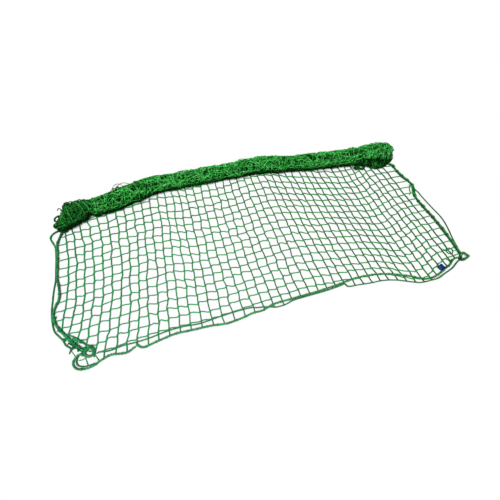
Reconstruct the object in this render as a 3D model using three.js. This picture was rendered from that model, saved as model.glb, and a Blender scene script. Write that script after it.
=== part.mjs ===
// Cover net, partly unrolled: green square-mesh netting that lies spread on the floor, with the
// rest of it wound up along its back edge. A laid rope and a thinner draw cord edge the netting.
//
// Millimetres, +Z up, floor at z = 0. X runs along the netting's width, Y from its front edge
// to the roll at the back. Tables give places in the plan, and CENTRE moves them so that the
// origin is the middle of the whole net on the floor.
import * as THREE from 'three';

// Netting
const MESH = 45; // side of one square mesh, knot to knot
const MESHES_ACROSS = 46; // meshes between the left and the right edge
const ROWS_SHOWN = 18; // rows of meshes between the front weft and the roll
const CUT = 2; // each gap that is cut is this many meshes wide and long
const NET_THICKNESS = 4.5;
const BAR = 5; // width of netting left between two gaps
const HEM = 8; // width of netting under the edge rope
const FRONT_FROM = -900; // the front edge has its own line between these
const FRONT_TO = 1038;
const SMALLEST_GAP = 8; // gaps narrower than this all along are drawn shut
const SIDE_STEPS = 14; // corners in the outline along the left and the right edge
const GATHER = 4; // how close drawn-up meshes lie to each other

// Rope and cord
const ROPE_RADIUS = 4;
const CORD_RADIUS = 2.5;
const STRANDS = 3;
const LAY_LENGTH = 40; // one full turn of the rope's strands
const GROOVE = 0.82; // radius between two strands, as a share of the rope's radius
const LAID_SIDES = 9;
const CORD_SIDES = 8;
const RING_STEPS = 20;
const SAMPLES_A_ROW = 8; // how finely a route is followed where the netting's edge meets it
const CLEARANCE = 0.3;

// Heights that a rope's underside lies at
const FLOOR = 0;
const NET = NET_THICKNESS + CLEARANCE;
const ROPE_TOP = NET + 2 * ROPE_RADIUS + CLEARANCE;

// Roll
const ROLL_SIDES = 22;
const ROLL_RINGS = 62;
const END_CROWDING = 0.45; // how much closer the rings stand at the roll's ends
const ROLL_FLAT = 3; // how far its underside is pressed flat
const FLAT_REACH = 14; // how far out from its core line the underside may touch the floor
const ROLL_SEAT = 3.5; // space between the netting's last row and the roll

const CENTRE = { x: 44.2, y: 25.6 };

// The lie of the netting. Each row is a warp line that runs along a fold: `mesh` counts meshes
// from the left edge, and the places are those of the front weft, row 8 and row 16.
const BACK_ROW = 16;
const FOLDS = [
  { fold: 'left edge', mesh: 0, front: [-1075, -345], middle: [-975, -20], back: [-950, 330] },
  { fold: 'left slope', mesh: 3, front: [-950, -345], middle: [-857, -5], back: [-842, 345] },
  { fold: 'left rise', mesh: 7, front: [-768, -330], middle: [-688, 22], back: [-662, 375] },
  { fold: 'left crest', mesh: 12, front: [-536, -318], middle: [-478, 43], back: [-435, 402] },
  { fold: 'shallow dip', mesh: 16, front: [-340, -328], middle: [-309, 19], back: [-278, 385] },
  { fold: 'long rise', mesh: 21, front: [-89, -318], middle: [-82, 28], back: [-62, 397] },
  { fold: 'middle crest', mesh: 26, front: [152, -311], middle: [151, 53], back: [150, 425] },
  { fold: 'long fall', mesh: 31, front: [394, -334], middle: [373, 13], back: [360, 366] },
  { fold: 'steep fall', mesh: 35, front: [581, -360], middle: [549, -27], back: [523, 322] },
  { fold: 'deep trough', mesh: 39, front: [762, -435], middle: [722, -63], back: [697, 293] },
  { fold: 'right shoulder', mesh: 43, front: [935, -375], middle: [889, -17], back: [853, 350] },
  { fold: 'right edge', mesh: 46, front: [1050, -365], middle: [1018, -12], back: [975, 345] },
];

// The roll from its left to its right end: the place of its core line, its radius there, and
// how far the netting bunched against its front bulges out.
const ROLL = [
  { x: -952, y: 350, radius: 26, bulge: 0 },
  { x: -930, y: 354, radius: 42, bulge: 0 },
  { x: -890, y: 364, radius: 50, bulge: 0 },
  { x: -830, y: 381, radius: 52, bulge: 0 },
  { x: -750, y: 397, radius: 47, bulge: 0 },
  { x: -640, y: 416, radius: 48, bulge: 0 },
  { x: -520, y: 450, radius: 48, bulge: 0 },
  { x: -400, y: 470, radius: 44, bulge: 0 },
  { x: -200, y: 471, radius: 43, bulge: 0 },
  { x: 0, y: 470, radius: 44, bulge: 0 },
  { x: 140, y: 469, radius: 47, bulge: 0 },
  { x: 300, y: 447, radius: 45, bulge: 0 },
  { x: 450, y: 424, radius: 46, bulge: 0 },
  { x: 600, y: 409, radius: 47, bulge: 0 },
  { x: 740, y: 399, radius: 49, bulge: 4 },
  { x: 850, y: 394, radius: 50, bulge: 26 },
  { x: 930, y: 391, radius: 51, bulge: 48 },
  { x: 980, y: 389, radius: 50, bulge: 34 },
  { x: 1008, y: 390, radius: 44, bulge: 6 },
  { x: 1026, y: 391, radius: 30, bulge: 0 },
];

// Twists of the wound netting: ridges that run round the roll as they run along it. `round`
// counts ridges round it, `pitch` is the length of one wave along it, `shift` is in radians,
// and `depth` is a share of the radius.
const TWISTS = [
  { twist: 'three-start', round: 3, pitch: 214, shift: 0, depth: 0.03 },
  { twist: 'slow back twist', round: 2, pitch: -358, shift: 0, depth: 0.025 },
  { twist: 'bunching', round: 0, pitch: 145, shift: 1, depth: 0.02 },
  { twist: 'fine', round: 4, pitch: 119, shift: 0, depth: 0.02 },
];
const BULGE = { angle: -0.55, spread: 0.5 }; // where the front bunching sits on the roll, radians
const PLAIN_BELOW = -0.6; // the ridges fade out downwards between these heights, as shares of
const RIDGED_ABOVE = 0.2; // the radius, so that the underside rests evenly

// Routes of the ropes and cords: places in the plan, the height of the underside, and how much
// a knot or bunched lacing thickens the line there (1 is the plain line).
const LEFT_ROPE = [
  { x: -931, y: 300, under: NET, swell: 1 },
  { x: -943, y: 277, under: NET, swell: 1 },
  { x: -955, y: 246, under: NET, swell: 1.1 },
  { x: -958, y: 190, under: NET, swell: 1 },
  { x: -965, y: 120, under: NET, swell: 1 },
  { x: -971, y: 60, under: NET, swell: 1 },
  { x: -968, y: 15, under: NET, swell: 1 },
  { x: -973, y: -45, under: NET, swell: 1.2 },
  { x: -990, y: -80, under: NET, swell: 1 },
  { x: -999, y: -112, under: NET, swell: 1 },
  { x: -998, y: -140, under: NET, swell: 1.3 },
  { x: -984, y: -180, under: NET, swell: 1 },
  { x: -964, y: -214, under: NET, swell: 1.4 },
  { x: -942, y: -252, under: NET, swell: 1.1 },
  { x: -922, y: -286, under: NET, swell: 1.5 },
  { x: -896, y: -312, under: NET, swell: 1 },
];
const LEFT_CORD = [
  { x: -953, y: 321, under: NET, swell: 1 },
  { x: -972, y: 312, under: FLOOR, swell: 1 },
  { x: -982, y: 290, under: FLOOR, swell: 1 },
  { x: -973, y: 262, under: FLOOR, swell: 1 },
  { x: -966, y: 230, under: FLOOR, swell: 1 },
  { x: -967.3, y: 180, under: FLOOR, swell: 1 },
  { x: -974, y: 110, under: FLOOR, swell: 1 },
  { x: -980, y: 55, under: FLOOR, swell: 1 },
  { x: -992, y: 5, under: FLOOR, swell: 1 },
  { x: -1003, y: -50, under: FLOOR, swell: 1 },
  { x: -1010, y: -95, under: FLOOR, swell: 1 },
  { x: -1011, y: -130, under: FLOOR, swell: 1.2 },
  { x: -1012, y: -165, under: FLOOR, swell: 1 },
  { x: -1006, y: -192, under: FLOOR, swell: 1 },
  { x: -988, y: -215, under: FLOOR, swell: 1 },
  { x: -974, y: -240, under: FLOOR, swell: 1 },
  { x: -966, y: -264, under: FLOOR, swell: 1 },
  { x: -948, y: -285, under: FLOOR, swell: 1.5 },
  { x: -957, y: -304, under: FLOOR, swell: 1 },
];
const FRONT_ROPE = [
  { x: -684, y: -347, under: NET, swell: 1 },
  { x: -677, y: -358, under: NET, swell: 1 },
  { x: -662, y: -369, under: NET, swell: 1 },
  { x: -600, y: -362, under: NET, swell: 1 },
  { x: -520, y: -352, under: NET, swell: 1 },
  { x: -440, y: -357, under: NET, swell: 1 },
  { x: -350, y: -363, under: NET, swell: 1 },
  { x: -285, y: -373, under: NET, swell: 1 },
  { x: -215, y: -370, under: NET, swell: 1 },
  { x: -150, y: -361, under: NET, swell: 1 },
  { x: -105, y: -362, under: NET, swell: 1 },
  { x: -80, y: -357, under: NET, swell: 1 },
  { x: -45, y: -348, under: NET, swell: 1 },
  { x: 60, y: -347, under: NET, swell: 1 },
  { x: 200, y: -348, under: NET, swell: 1 },
  { x: 320, y: -343, under: NET, swell: 1 },
  { x: 400, y: -337, under: NET, swell: 1 },
  { x: 490, y: -342, under: NET, swell: 1 },
  { x: 570, y: -357, under: NET, swell: 1 },
  { x: 650, y: -385, under: NET, swell: 1 },
  { x: 715, y: -414, under: NET, swell: 1 },
  { x: 765, y: -443, under: NET, swell: 1 },
  { x: 820, y: -450, under: NET, swell: 1 },
  { x: 872, y: -440, under: NET, swell: 1 },
  { x: 917, y: -424, under: NET, swell: 1 },
  { x: 962, y: -409, under: NET, swell: 1 },
  { x: 990, y: -390, under: NET, swell: 1 },
  { x: 1030, y: -385, under: NET, swell: 1.1 },
];
const FRONT_CORD = [
  { x: -843, y: -333, under: NET, swell: 1 },
  { x: -800, y: -341, under: NET, swell: 1 },
  { x: -740, y: -336, under: NET, swell: 1 },
  { x: -690, y: -338, under: NET, swell: 1 },
  { x: -630, y: -337, under: NET, swell: 1 },
  { x: -550, y: -329, under: NET, swell: 1 },
  { x: -480, y: -329, under: NET, swell: 1 },
  { x: -400, y: -337, under: NET, swell: 1 },
  { x: -300, y: -332, under: NET, swell: 1 },
  { x: -210, y: -330, under: NET, swell: 1 },
  { x: -150, y: -333, under: NET, swell: 1 },
  { x: -118, y: -342, under: NET, swell: 1 },
  { x: -92, y: -349, under: ROPE_TOP, swell: 1 },
  { x: -56, y: -360, under: ROPE_TOP, swell: 1 },
  { x: -30, y: -365, under: NET, swell: 1 },
  { x: 14, y: -366, under: NET, swell: 1 },
  { x: 60, y: -359, under: NET, swell: 1 },
  { x: 140, y: -358, under: NET, swell: 1 },
  { x: 240, y: -358, under: NET, swell: 1 },
  { x: 325, y: -354, under: NET, swell: 1 },
  { x: 346, y: -352, under: NET, swell: 1 },
  { x: 355, y: -367, under: NET, swell: 1.2 },
  { x: 410, y: -374, under: NET, swell: 1 },
  { x: 480, y: -383, under: NET, swell: 1 },
  { x: 550, y: -389, under: NET, swell: 1 },
  { x: 620, y: -407, under: NET, swell: 1 },
  { x: 690, y: -437, under: NET, swell: 1 },
  { x: 740, y: -456, under: NET, swell: 1 },
  { x: 800, y: -461, under: NET, swell: 1 },
  { x: 850, y: -461, under: NET, swell: 1.3 },
  { x: 900, y: -448, under: NET, swell: 1 },
  { x: 960, y: -432, under: NET, swell: 1 },
  { x: 1010, y: -408, under: NET, swell: 1 },
  { x: 1040, y: -398, under: NET, swell: 1 },
];
const CORNER_ROPE = [
  { x: -897, y: -332, under: NET, swell: 1.1 },
  { x: -918, y: -322, under: NET, swell: 1 },
  { x: -938, y: -333, under: FLOOR, swell: 1 },
  { x: -946, y: -354, under: FLOOR, swell: 1 },
  { x: -934, y: -376, under: FLOOR, swell: 1 },
  { x: -905, y: -387, under: NET, swell: 1 },
  { x: -872, y: -385, under: NET, swell: 1 },
  { x: -835, y: -371, under: NET, swell: 1 },
  { x: -795, y: -361, under: NET, swell: 1 },
  { x: -757, y: -368, under: NET, swell: 1 },
  { x: -728, y: -371, under: NET, swell: 1.1 },
  { x: -693, y: -357, under: NET, swell: 1 },
];
const GATHERED_EDGE = [
  { x: -951, y: -222, under: NET, swell: 1 },
  { x: -932, y: -238, under: NET, swell: 1.5 },
  { x: -911, y: -256, under: NET, swell: 1 },
  { x: -896, y: -276, under: NET, swell: 1.6 },
  { x: -881, y: -292, under: NET, swell: 1.1 },
  { x: -866, y: -302, under: NET, swell: 1.5 },
];
const RIGHT_ROPE = [
  { x: 1003, y: 297, under: NET, swell: 1 },
  { x: 1008, y: 255, under: NET, swell: 1 },
  { x: 1014, y: 222, under: NET, swell: 1.5 },
  { x: 1024, y: 190, under: NET, swell: 1.5 },
  { x: 1040, y: 158, under: NET, swell: 1.1 },
  { x: 1048, y: 122, under: NET, swell: 1 },
  { x: 1038, y: 88, under: NET, swell: 1 },
  { x: 1019, y: 55, under: NET, swell: 1.3 },
  { x: 1018, y: 15, under: NET, swell: 1 },
  { x: 1024, y: -30, under: NET, swell: 1.4 },
  { x: 1031, y: -70, under: NET, swell: 1.2 },
  { x: 1039, y: -110, under: NET, swell: 1.4 },
  { x: 1045, y: -155, under: NET, swell: 1.1 },
  { x: 1050, y: -205, under: NET, swell: 1.6 },
  { x: 1053, y: -255, under: NET, swell: 1.2 },
  { x: 1056, y: -310, under: NET, swell: 1.4 },
  { x: 1055, y: -368, under: NET, swell: 1.5 },
];
const RIGHT_CORD = [
  { x: 1047.3, y: 98, under: FLOOR, swell: 1 },
  { x: 1056, y: 80, under: FLOOR, swell: 1 },
  { x: 1062, y: 40, under: FLOOR, swell: 1 },
  { x: 1071, y: -10, under: FLOOR, swell: 1 },
  { x: 1082, y: -65, under: FLOOR, swell: 1 },
  { x: 1093, y: -115, under: FLOOR, swell: 1 },
  { x: 1095, y: -160, under: FLOOR, swell: 1 },
  { x: 1088, y: -215, under: FLOOR, swell: 1 },
  { x: 1077, y: -270, under: FLOOR, swell: 1 },
  { x: 1070, y: -320, under: FLOOR, swell: 1 },
  { x: 1067, y: -348, under: FLOOR, swell: 1 },
  { x: 1063, y: -366, under: FLOOR, swell: 1.2 },
];

// Rings: closed loops of rope or cord that lie flat.
const RINGS = [
  { node: 'corner_ring_left', x: -868, y: -329, long: 18, wide: 14, line: 4, under: NET, turn: 20 },
  { node: 'corner_eye_right', x: 1076, y: -390, long: 24, wide: 15, line: 4, under: NET, turn: 15 },
];

// Label: a plain strip folded round the front rope, its two leaves lying back over the netting.
// `over` and `down` are the angles round the rope, in degrees, where its bend starts and ends.
const LABEL = {
  x: 917, y: -424, turn: 18, width: 38, leaf: 26, thickness: 1, over: 115, down: 10, bends: 6, toe: 5,
};

// Colours and roughness of what each piece is made of
const NETTING = { color: 0x2f7d4a, roughness: 0.62 };
const WOUND_NETTING = { color: 0x1d7a2c, roughness: 0.68 };
const LAID_ROPE = { color: 0x2e7a48, roughness: 0.55 };
const BRAIDED_CORD = { color: 0x2b6b45, roughness: 0.6 };
const WOVEN_LABEL = { color: 0x1f3f8f, roughness: 0.5 };

function piece(name, geometry, look) {
  const mesh = new THREE.Mesh(geometry, new THREE.MeshStandardMaterial({ ...look, metalness: 0 }));
  mesh.name = name;
  return mesh;
}

// Smooth value between the rows of a table. `key` names the column that counts along it.
function between(table, key, at, read) {
  const last = table.length - 1;
  let row = 0;
  while (row < last - 1 && at > table[row + 1][key]) {
    row += 1;
  }
  const slope = (index) => {
    const from = table[Math.max(index - 1, 0)];
    const to = table[Math.min(index + 1, last)];
    return (read(to) - read(from)) / (to[key] - from[key]);
  };
  const span = table[row + 1][key] - table[row][key];
  const t = (at - table[row][key]) / span;
  const blend = t * t * (3 - 2 * t);
  const level = read(table[row]) * (1 - blend) + read(table[row + 1]) * blend;
  const leave = span * slope(row) * t * (1 - t) * (1 - t);
  const arrive = span * slope(row + 1) * t * t * (1 - t);
  return level + leave - arrive;
}

// A line laid on the floor or on the netting: a smooth path through a route's places, whose
// height eases from row to row. Its frames turn and widen along it, which gives a laid rope
// its strands and its knots.
class RestingLine extends THREE.Curve {
  constructor(route, radius, isLaid) {
    super();
    this.route = route;
    this.radius = radius;
    const places = route.map((row) => new THREE.Vector3(row.x, row.y, 0));
    this.plan = new THREE.CatmullRomCurve3(places, false, 'centripetal');
    this.turns = isLaid ? this.plan.getLength() / LAY_LENGTH : 0;
  }

  column(name, t) {
    const at = t * (this.route.length - 1);
    const row = Math.min(Math.floor(at), this.route.length - 2);
    const ease = THREE.MathUtils.smoothstep(at - row, 0, 1);
    return THREE.MathUtils.lerp(this.route[row][name], this.route[row + 1][name], ease);
  }

  getPoint(t, target = new THREE.Vector3()) {
    this.plan.getPoint(t, target);
    target.z = this.column('under', t) + this.radius * this.column('swell', t);
    return target;
  }

  computeFrenetFrames(steps, closed) {
    const frames = super.computeFrenetFrames(steps, closed);
    for (let step = 0; step <= steps; step += 1) {
      const twist = (2 * Math.PI * this.turns * step) / steps;
      const swell = this.column('swell', this.getUtoTmapping(step / steps));
      const tangent = frames.tangents[step];
      frames.normals[step].applyAxisAngle(tangent, twist).multiplyScalar(swell);
      frames.binormals[step].applyAxisAngle(tangent, twist).multiplyScalar(swell);
    }
    return frames;
  }
}

// Section of a cord, or of a rope whose three strands stand out.
function lineSection(radius, isLaid) {
  const sides = isLaid ? LAID_SIDES : CORD_SIDES;
  const corners = [];
  for (let side = 0; side < sides; side += 1) {
    const angle = (2 * Math.PI * side) / sides;
    const reach = isLaid && side % (LAID_SIDES / STRANDS) !== 0 ? radius * GROOVE : radius;
    corners.push(new THREE.Vector2(reach * Math.cos(angle), reach * Math.sin(angle)));
  }
  return new THREE.Shape(corners);
}

function lineGeometry(line, step, isLaid) {
  const steps = Math.round(line.getLength() / step);
  const section = lineSection(line.radius, isLaid);
  return new THREE.ExtrudeGeometry(section, { steps, extrudePath: line, bevelEnabled: false });
}

const leftRope = new RestingLine(LEFT_ROPE, ROPE_RADIUS, true);
const leftCord = new RestingLine(LEFT_CORD, CORD_RADIUS, false);
const frontRope = new RestingLine(FRONT_ROPE, ROPE_RADIUS, false);
const frontCord = new RestingLine(FRONT_CORD, CORD_RADIUS, false);
const cornerRope = new RestingLine(CORNER_ROPE, ROPE_RADIUS, true);
const gatheredEdge = new RestingLine(GATHERED_EDGE, CORD_RADIUS, false);
const rightRope = new RestingLine(RIGHT_ROPE, ROPE_RADIUS, true);
const rightCord = new RestingLine(RIGHT_CORD, CORD_RADIUS, false);

// Where a line crosses a given value of one axis, all its values on the other axis.
function crossings(line, axis, value, other) {
  const points = line.getPoints(line.route.length * SAMPLES_A_ROW);
  const found = [];
  for (let index = 1; index < points.length; index += 1) {
    const from = points[index - 1];
    const to = points[index];
    if ((from[axis] - value) * (to[axis] - value) <= 0 && from[axis] !== to[axis]) {
      const share = (value - from[axis]) / (to[axis] - from[axis]);
      found.push(from[other] + share * (to[other] - from[other]));
    }
  }
  return found;
}

// The netting's edges in the plan, each under the line that runs along it.
function leftEdge(y) {
  const top = LEFT_ROPE[0];
  const foot = LEFT_ROPE[LEFT_ROPE.length - 1];
  const at = THREE.MathUtils.clamp(y, foot.y, top.y);
  return Math.min(...crossings(leftRope, 'y', at, 'x'));
}

function rightEdge(y) {
  const top = RIGHT_ROPE[0];
  const foot = RIGHT_ROPE[RIGHT_ROPE.length - 1];
  const at = THREE.MathUtils.clamp(y, foot.y, top.y);
  return Math.max(...crossings(rightRope, 'y', at, 'x'));
}

function frontEdge(x) {
  const lines = [frontRope, frontCord, cornerRope];
  const at = THREE.MathUtils.clamp(x, FRONT_FROM, FRONT_TO);
  return Math.min(...lines.flatMap((line) => crossings(line, 'x', at, 'y')));
}

// The roll's core line in the plan, its radius, and the line where the netting runs in under it.
function rollAt(x) {
  return {
    y: between(ROLL, 'x', x, (row) => row.y),
    radius: between(ROLL, 'x', x, (row) => row.radius),
    bulge: between(ROLL, 'x', x, (row) => row.bulge),
  };
}

function rollSlope(x) {
  const step = 1;
  return (rollAt(x + step).y - rollAt(x - step).y) / (2 * step);
}

function rollFoot(x) {
  const { y, radius } = rollAt(x);
  const rise = ROLL_FLAT + NET + CLEARANCE;
  const reach = Math.sqrt(2 * radius * rise - rise * rise);
  return y - (reach + ROLL_SEAT) * Math.hypot(1, rollSlope(x));
}

// Where the netting lies, `mesh` meshes from its left edge and `row` rows behind its front weft.
function foldPoint(mesh, row) {
  const t = row / BACK_ROW;
  const weight = { front: (1 - 2 * t) * (1 - t), middle: 4 * t * (1 - t), back: t * (2 * t - 1) };
  const place = (axis) => between(FOLDS, 'mesh', mesh, (fold) => (
    fold.front[axis] * weight.front + fold.middle[axis] * weight.middle
    + fold.back[axis] * weight.back));
  return new THREE.Vector2(place(0), place(1));
}

// The same, with the meshes at the edges drawn up on the rope and those at the back tucked in
// under the roll. The count of meshes or rows still to come keeps drawn-up strands apart.
function netPoint(mesh, row) {
  const point = foldPoint(mesh, row);
  const inFromLeft = HEM / 2 + mesh * GATHER;
  const inFromRight = HEM / 2 + (MESHES_ACROSS - mesh) * GATHER;
  const left = leftEdge(point.y) + inFromLeft;
  const right = rightEdge(point.y) - inFromRight;
  point.x = mesh < 1 ? left : THREE.MathUtils.clamp(point.x, left, right);
  point.x = MESHES_ACROSS - mesh < 1 ? right : point.x;
  const back = rollFoot(point.x) - BAR - (ROWS_SHOWN - row) * GATHER;
  point.y = Math.min(point.y, back);
  point.y = Math.max(point.y, frontEdge(point.x) + HEM / 2 + (row + 1) * GATHER);
  return point;
}

// The corners of a gap, and the middle of the side next to the front rope.
function gapCorners(mesh, row, rows) {
  const side = BAR / 2 / MESH;
  const near = row < 0 ? row : row + side;
  const far = row + rows - side;
  const corners = [
    netPoint(mesh + side, near),
    netPoint(mesh + CUT - side, near),
    netPoint(mesh + CUT - side, far),
    netPoint(mesh + side, far),
  ];
  if (row < 0) {
    corners.splice(1, 0, netPoint(mesh + CUT / 2, near));
  }
  return corners;
}

// A gap is cut only where it stays open all the way across: its area is that of a strip of
// the smallest width along its longest side.
function isOpen(corners) {
  const next = (index) => corners[(index + 1) % corners.length];
  const sides = corners.map((corner, index) => corner.distanceTo(next(index)));
  const area = Math.abs(THREE.ShapeUtils.area(corners));
  return Math.min(...sides) > SMALLEST_GAP / 2 && area > SMALLEST_GAP * Math.max(...sides);
}

function netOutline() {
  const outline = [];
  const leftFoot = LEFT_ROPE[LEFT_ROPE.length - 1];
  for (let step = 0; step <= SIDE_STEPS; step += 1) {
    const y = THREE.MathUtils.lerp(LEFT_ROPE[0].y, leftFoot.y, step / SIDE_STEPS);
    outline.push(new THREE.Vector2(leftEdge(y) - HEM / 2, y));
  }
  for (let mesh = 0; mesh <= MESHES_ACROSS; mesh += 1) {
    const { x } = netPoint(mesh, -1);
    outline.push(new THREE.Vector2(x, frontEdge(x) - HEM / 2));
  }
  const rightFoot = RIGHT_ROPE[RIGHT_ROPE.length - 1];
  for (let step = 0; step <= SIDE_STEPS; step += 1) {
    const y = THREE.MathUtils.lerp(rightFoot.y, RIGHT_ROPE[0].y, step / SIDE_STEPS);
    outline.push(new THREE.Vector2(rightEdge(y) + HEM / 2, y));
  }
  for (let mesh = MESHES_ACROSS; mesh >= 0; mesh -= 1) {
    const x = THREE.MathUtils.lerp(LEFT_ROPE[0].x, RIGHT_ROPE[0].x, mesh / MESHES_ACROSS);
    outline.push(new THREE.Vector2(x, rollFoot(x)));
  }
  return outline;
}

function spreadNetting() {
  const shape = new THREE.Shape(netOutline());
  for (let mesh = 0; mesh < MESHES_ACROSS; mesh += CUT) {
    const front = gapCorners(mesh, -1, 1);
    const gaps = [front];
    for (let row = 0; row < ROWS_SHOWN; row += CUT) {
      gaps.push(gapCorners(mesh, row, CUT));
    }
    for (const gap of gaps.filter(isOpen)) {
      shape.holes.push(new THREE.Path(gap));
    }
  }
  return new THREE.ExtrudeGeometry(shape, { depth: NET_THICKNESS, bevelEnabled: false });
}

// The roll is turned as a bar of radius 1 and length 1, then laid along its core line.
function woundRoll() {
  const profile = [new THREE.Vector2(0, 0)];
  for (let ring = 0; ring <= ROLL_RINGS; ring += 1) {
    profile.push(new THREE.Vector2(1, ring / ROLL_RINGS));
  }
  profile.push(new THREE.Vector2(0, 1));
  const geometry = new THREE.LatheGeometry(profile, ROLL_SIDES);
  const first = ROLL[0].x;
  const length = ROLL[ROLL.length - 1].x - first;
  const turn = 2 * Math.PI;
  const position = geometry.attributes.position;
  const vertex = new THREE.Vector3();
  for (let index = 0; index < position.count; index += 1) {
    vertex.fromBufferAttribute(position, index);
    const x = first + length * (vertex.y - (END_CROWDING * Math.sin(turn * vertex.y)) / turn);
    const { y, radius, bulge } = rollAt(x);
    const forward = new THREE.Vector2(rollSlope(x), -1).normalize();
    const angle = Math.atan2(vertex.z, vertex.x);
    const ridges = TWISTS.reduce((sum, { round, pitch, shift, depth }) => (
      sum + depth * Math.sin(round * angle + (turn * x) / pitch + shift)), 0);
    const upper = THREE.MathUtils.smoothstep(vertex.z, PLAIN_BELOW, RIDGED_ABOVE);
    const low = Math.exp(-(((angle - BULGE.angle) / BULGE.spread) ** 2));
    const reach = radius * (1 + ridges * upper) + bulge * low;
    const out = reach * vertex.x;
    const lowest = Math.abs(out) > FLAT_REACH ? NET + CLEARANCE : 0;
    const z = Math.max(reach * vertex.z + radius - ROLL_FLAT, lowest);
    position.setXYZ(index, x + forward.x * out, y + forward.y * out, z);
  }
  return geometry;
}

// A ring of line laid flat as an oval: each point keeps its distance from the line's middle.
function ovalRing({ long, wide, line, turn, under, x, y }) {
  const geometry = new THREE.TorusGeometry(long, line, CORD_SIDES, RING_STEPS);
  const position = geometry.attributes.position;
  for (let index = 0; index < position.count; index += 1) {
    const angle = Math.atan2(position.getY(index), position.getX(index));
    const off = Math.hypot(position.getX(index), position.getY(index)) - long;
    position.setX(index, (long + off) * Math.cos(angle));
    position.setY(index, (wide + off) * Math.sin(angle));
  }
  geometry.rotateZ(THREE.MathUtils.degToRad(turn));
  geometry.translate(x, y, under + line);
  return geometry;
}

// Section of the label across the rope: over the rope's top, down its inner side and flat on
// the netting. `out` is 0 for the face next to the rope and 1 for the other face.
function labelEdge(out) {
  const radius = ROPE_RADIUS + 2 * CLEARANCE + out * LABEL.thickness;
  const height = NET + ROPE_RADIUS;
  const points = [];
  for (let bend = 0; bend <= LABEL.bends; bend += 1) {
    const turned = THREE.MathUtils.lerp(LABEL.over, LABEL.down, bend / LABEL.bends);
    const angle = THREE.MathUtils.degToRad(turned);
    points.push(new THREE.Vector2(radius * Math.cos(angle), height + radius * Math.sin(angle)));
  }
  const low = NET + out * LABEL.thickness;
  points.push(new THREE.Vector2(ROPE_RADIUS + LABEL.toe, low));
  points.push(new THREE.Vector2(ROPE_RADIUS + LABEL.leaf, low));
  return points;
}

function foldedLabel() {
  const section = new THREE.Shape([...labelEdge(0), ...labelEdge(1).reverse()]);
  const geometry = new THREE.ExtrudeGeometry(section, { depth: LABEL.width, bevelEnabled: false });
  geometry.translate(0, 0, -LABEL.width / 2);
  geometry.rotateX(Math.PI / 2);
  geometry.rotateZ(THREE.MathUtils.degToRad(LABEL.turn + 90));
  geometry.translate(LABEL.x, LABEL.y, 0);
  return geometry;
}

// Each line's node, the length of one step along it, and what it is made of. The short ropes
// have steps fine enough to show their lay.
const LINES = [
  { node: 'edge_rope_left', line: leftRope, step: 9, isLaid: true, look: LAID_ROPE },
  { node: 'edge_rope_front', line: frontRope, step: 24, isLaid: false, look: LAID_ROPE },
  { node: 'edge_rope_corner', line: cornerRope, step: 9, isLaid: true, look: LAID_ROPE },
  { node: 'edge_rope_right', line: rightRope, step: 9, isLaid: true, look: LAID_ROPE },
  { node: 'draw_cord_left', line: leftCord, step: 14, isLaid: false, look: BRAIDED_CORD },
  { node: 'draw_cord_front', line: frontCord, step: 24, isLaid: false, look: BRAIDED_CORD },
  { node: 'draw_cord_right', line: rightCord, step: 14, isLaid: false, look: BRAIDED_CORD },
  { node: 'gathered_edge_left', line: gatheredEdge, step: 6, isLaid: false, look: NETTING },
];

const net = new THREE.Group();
net.position.set(-CENTRE.x, -CENTRE.y, 0);
net.add(piece('net_spread', spreadNetting(), NETTING));
net.add(piece('net_roll', woundRoll(), WOUND_NETTING));
for (const { node, line, step, isLaid, look } of LINES) {
  net.add(piece(node, lineGeometry(line, step, isLaid), look));
}
for (const ring of RINGS) {
  net.add(piece(ring.node, ovalRing(ring), LAID_ROPE));
}
net.add(piece('label', foldedLabel(), WOVEN_LABEL));

export default net;
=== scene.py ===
"""Cover net, partly unrolled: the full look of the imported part.

Green square-mesh netting lies spread on the floor, and the rest of it is wound up along its back
edge. A laid rope and a thinner draw cord edge the netting, with rings of rope at two corners.

Tables are in millimetres in the plan, as the netting was measured. `placed` moves them to the
row frame and to metres, where the origin is the middle of the whole net on the floor.
"""

from __future__ import annotations

import logging
import math
from dataclasses import dataclass, replace
from enum import Enum

import bpy
import numpy as np
from mathutils import Matrix

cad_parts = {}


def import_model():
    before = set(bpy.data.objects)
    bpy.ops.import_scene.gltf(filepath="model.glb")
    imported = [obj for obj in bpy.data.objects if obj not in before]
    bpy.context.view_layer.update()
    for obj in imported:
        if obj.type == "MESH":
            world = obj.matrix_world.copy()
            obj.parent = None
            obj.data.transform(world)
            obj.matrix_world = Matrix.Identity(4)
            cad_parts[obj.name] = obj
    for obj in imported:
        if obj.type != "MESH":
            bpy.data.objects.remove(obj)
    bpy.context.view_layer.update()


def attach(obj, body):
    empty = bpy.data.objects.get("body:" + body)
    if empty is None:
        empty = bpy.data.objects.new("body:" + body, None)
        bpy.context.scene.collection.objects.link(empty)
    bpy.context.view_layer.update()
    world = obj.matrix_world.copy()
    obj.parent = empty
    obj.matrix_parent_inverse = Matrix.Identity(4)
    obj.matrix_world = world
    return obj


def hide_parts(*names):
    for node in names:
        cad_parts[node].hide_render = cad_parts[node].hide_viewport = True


LOG = logging.getLogger("cover_net")

MM = 0.001
TURN = 2 * math.pi
UP = (0.0, 0.0, 1.0)
# Place in the plan of the row frame's origin.
CENTRE = (44.2, 25.6, 0.0)
# The netting's mesh and count, and the radii of its twine, rope and cord.
MESH = 45.0
MESHES_ACROSS = 46
ROWS_SHOWN = 18
TWINE_RADIUS = 2.8
ROPE_RADIUS = 4.0
CORD_RADIUS = 2.5
# Heights that a line can rest on: the floor, the netting, and a rope on the netting.
FLOOR = 0.0
NET = 4.8
ROPE_TOP = NET + 2 * ROPE_RADIUS + 0.3
# How a laid rope is drawn: its strands, the corners round it, the length of a full turn of its
# lay, and the depth between two strands as a share of the radius.
STRANDS = 3
ROPE_SIDES = 18
LAY_LENGTH = 40.0
GROOVE = 0.24
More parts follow.
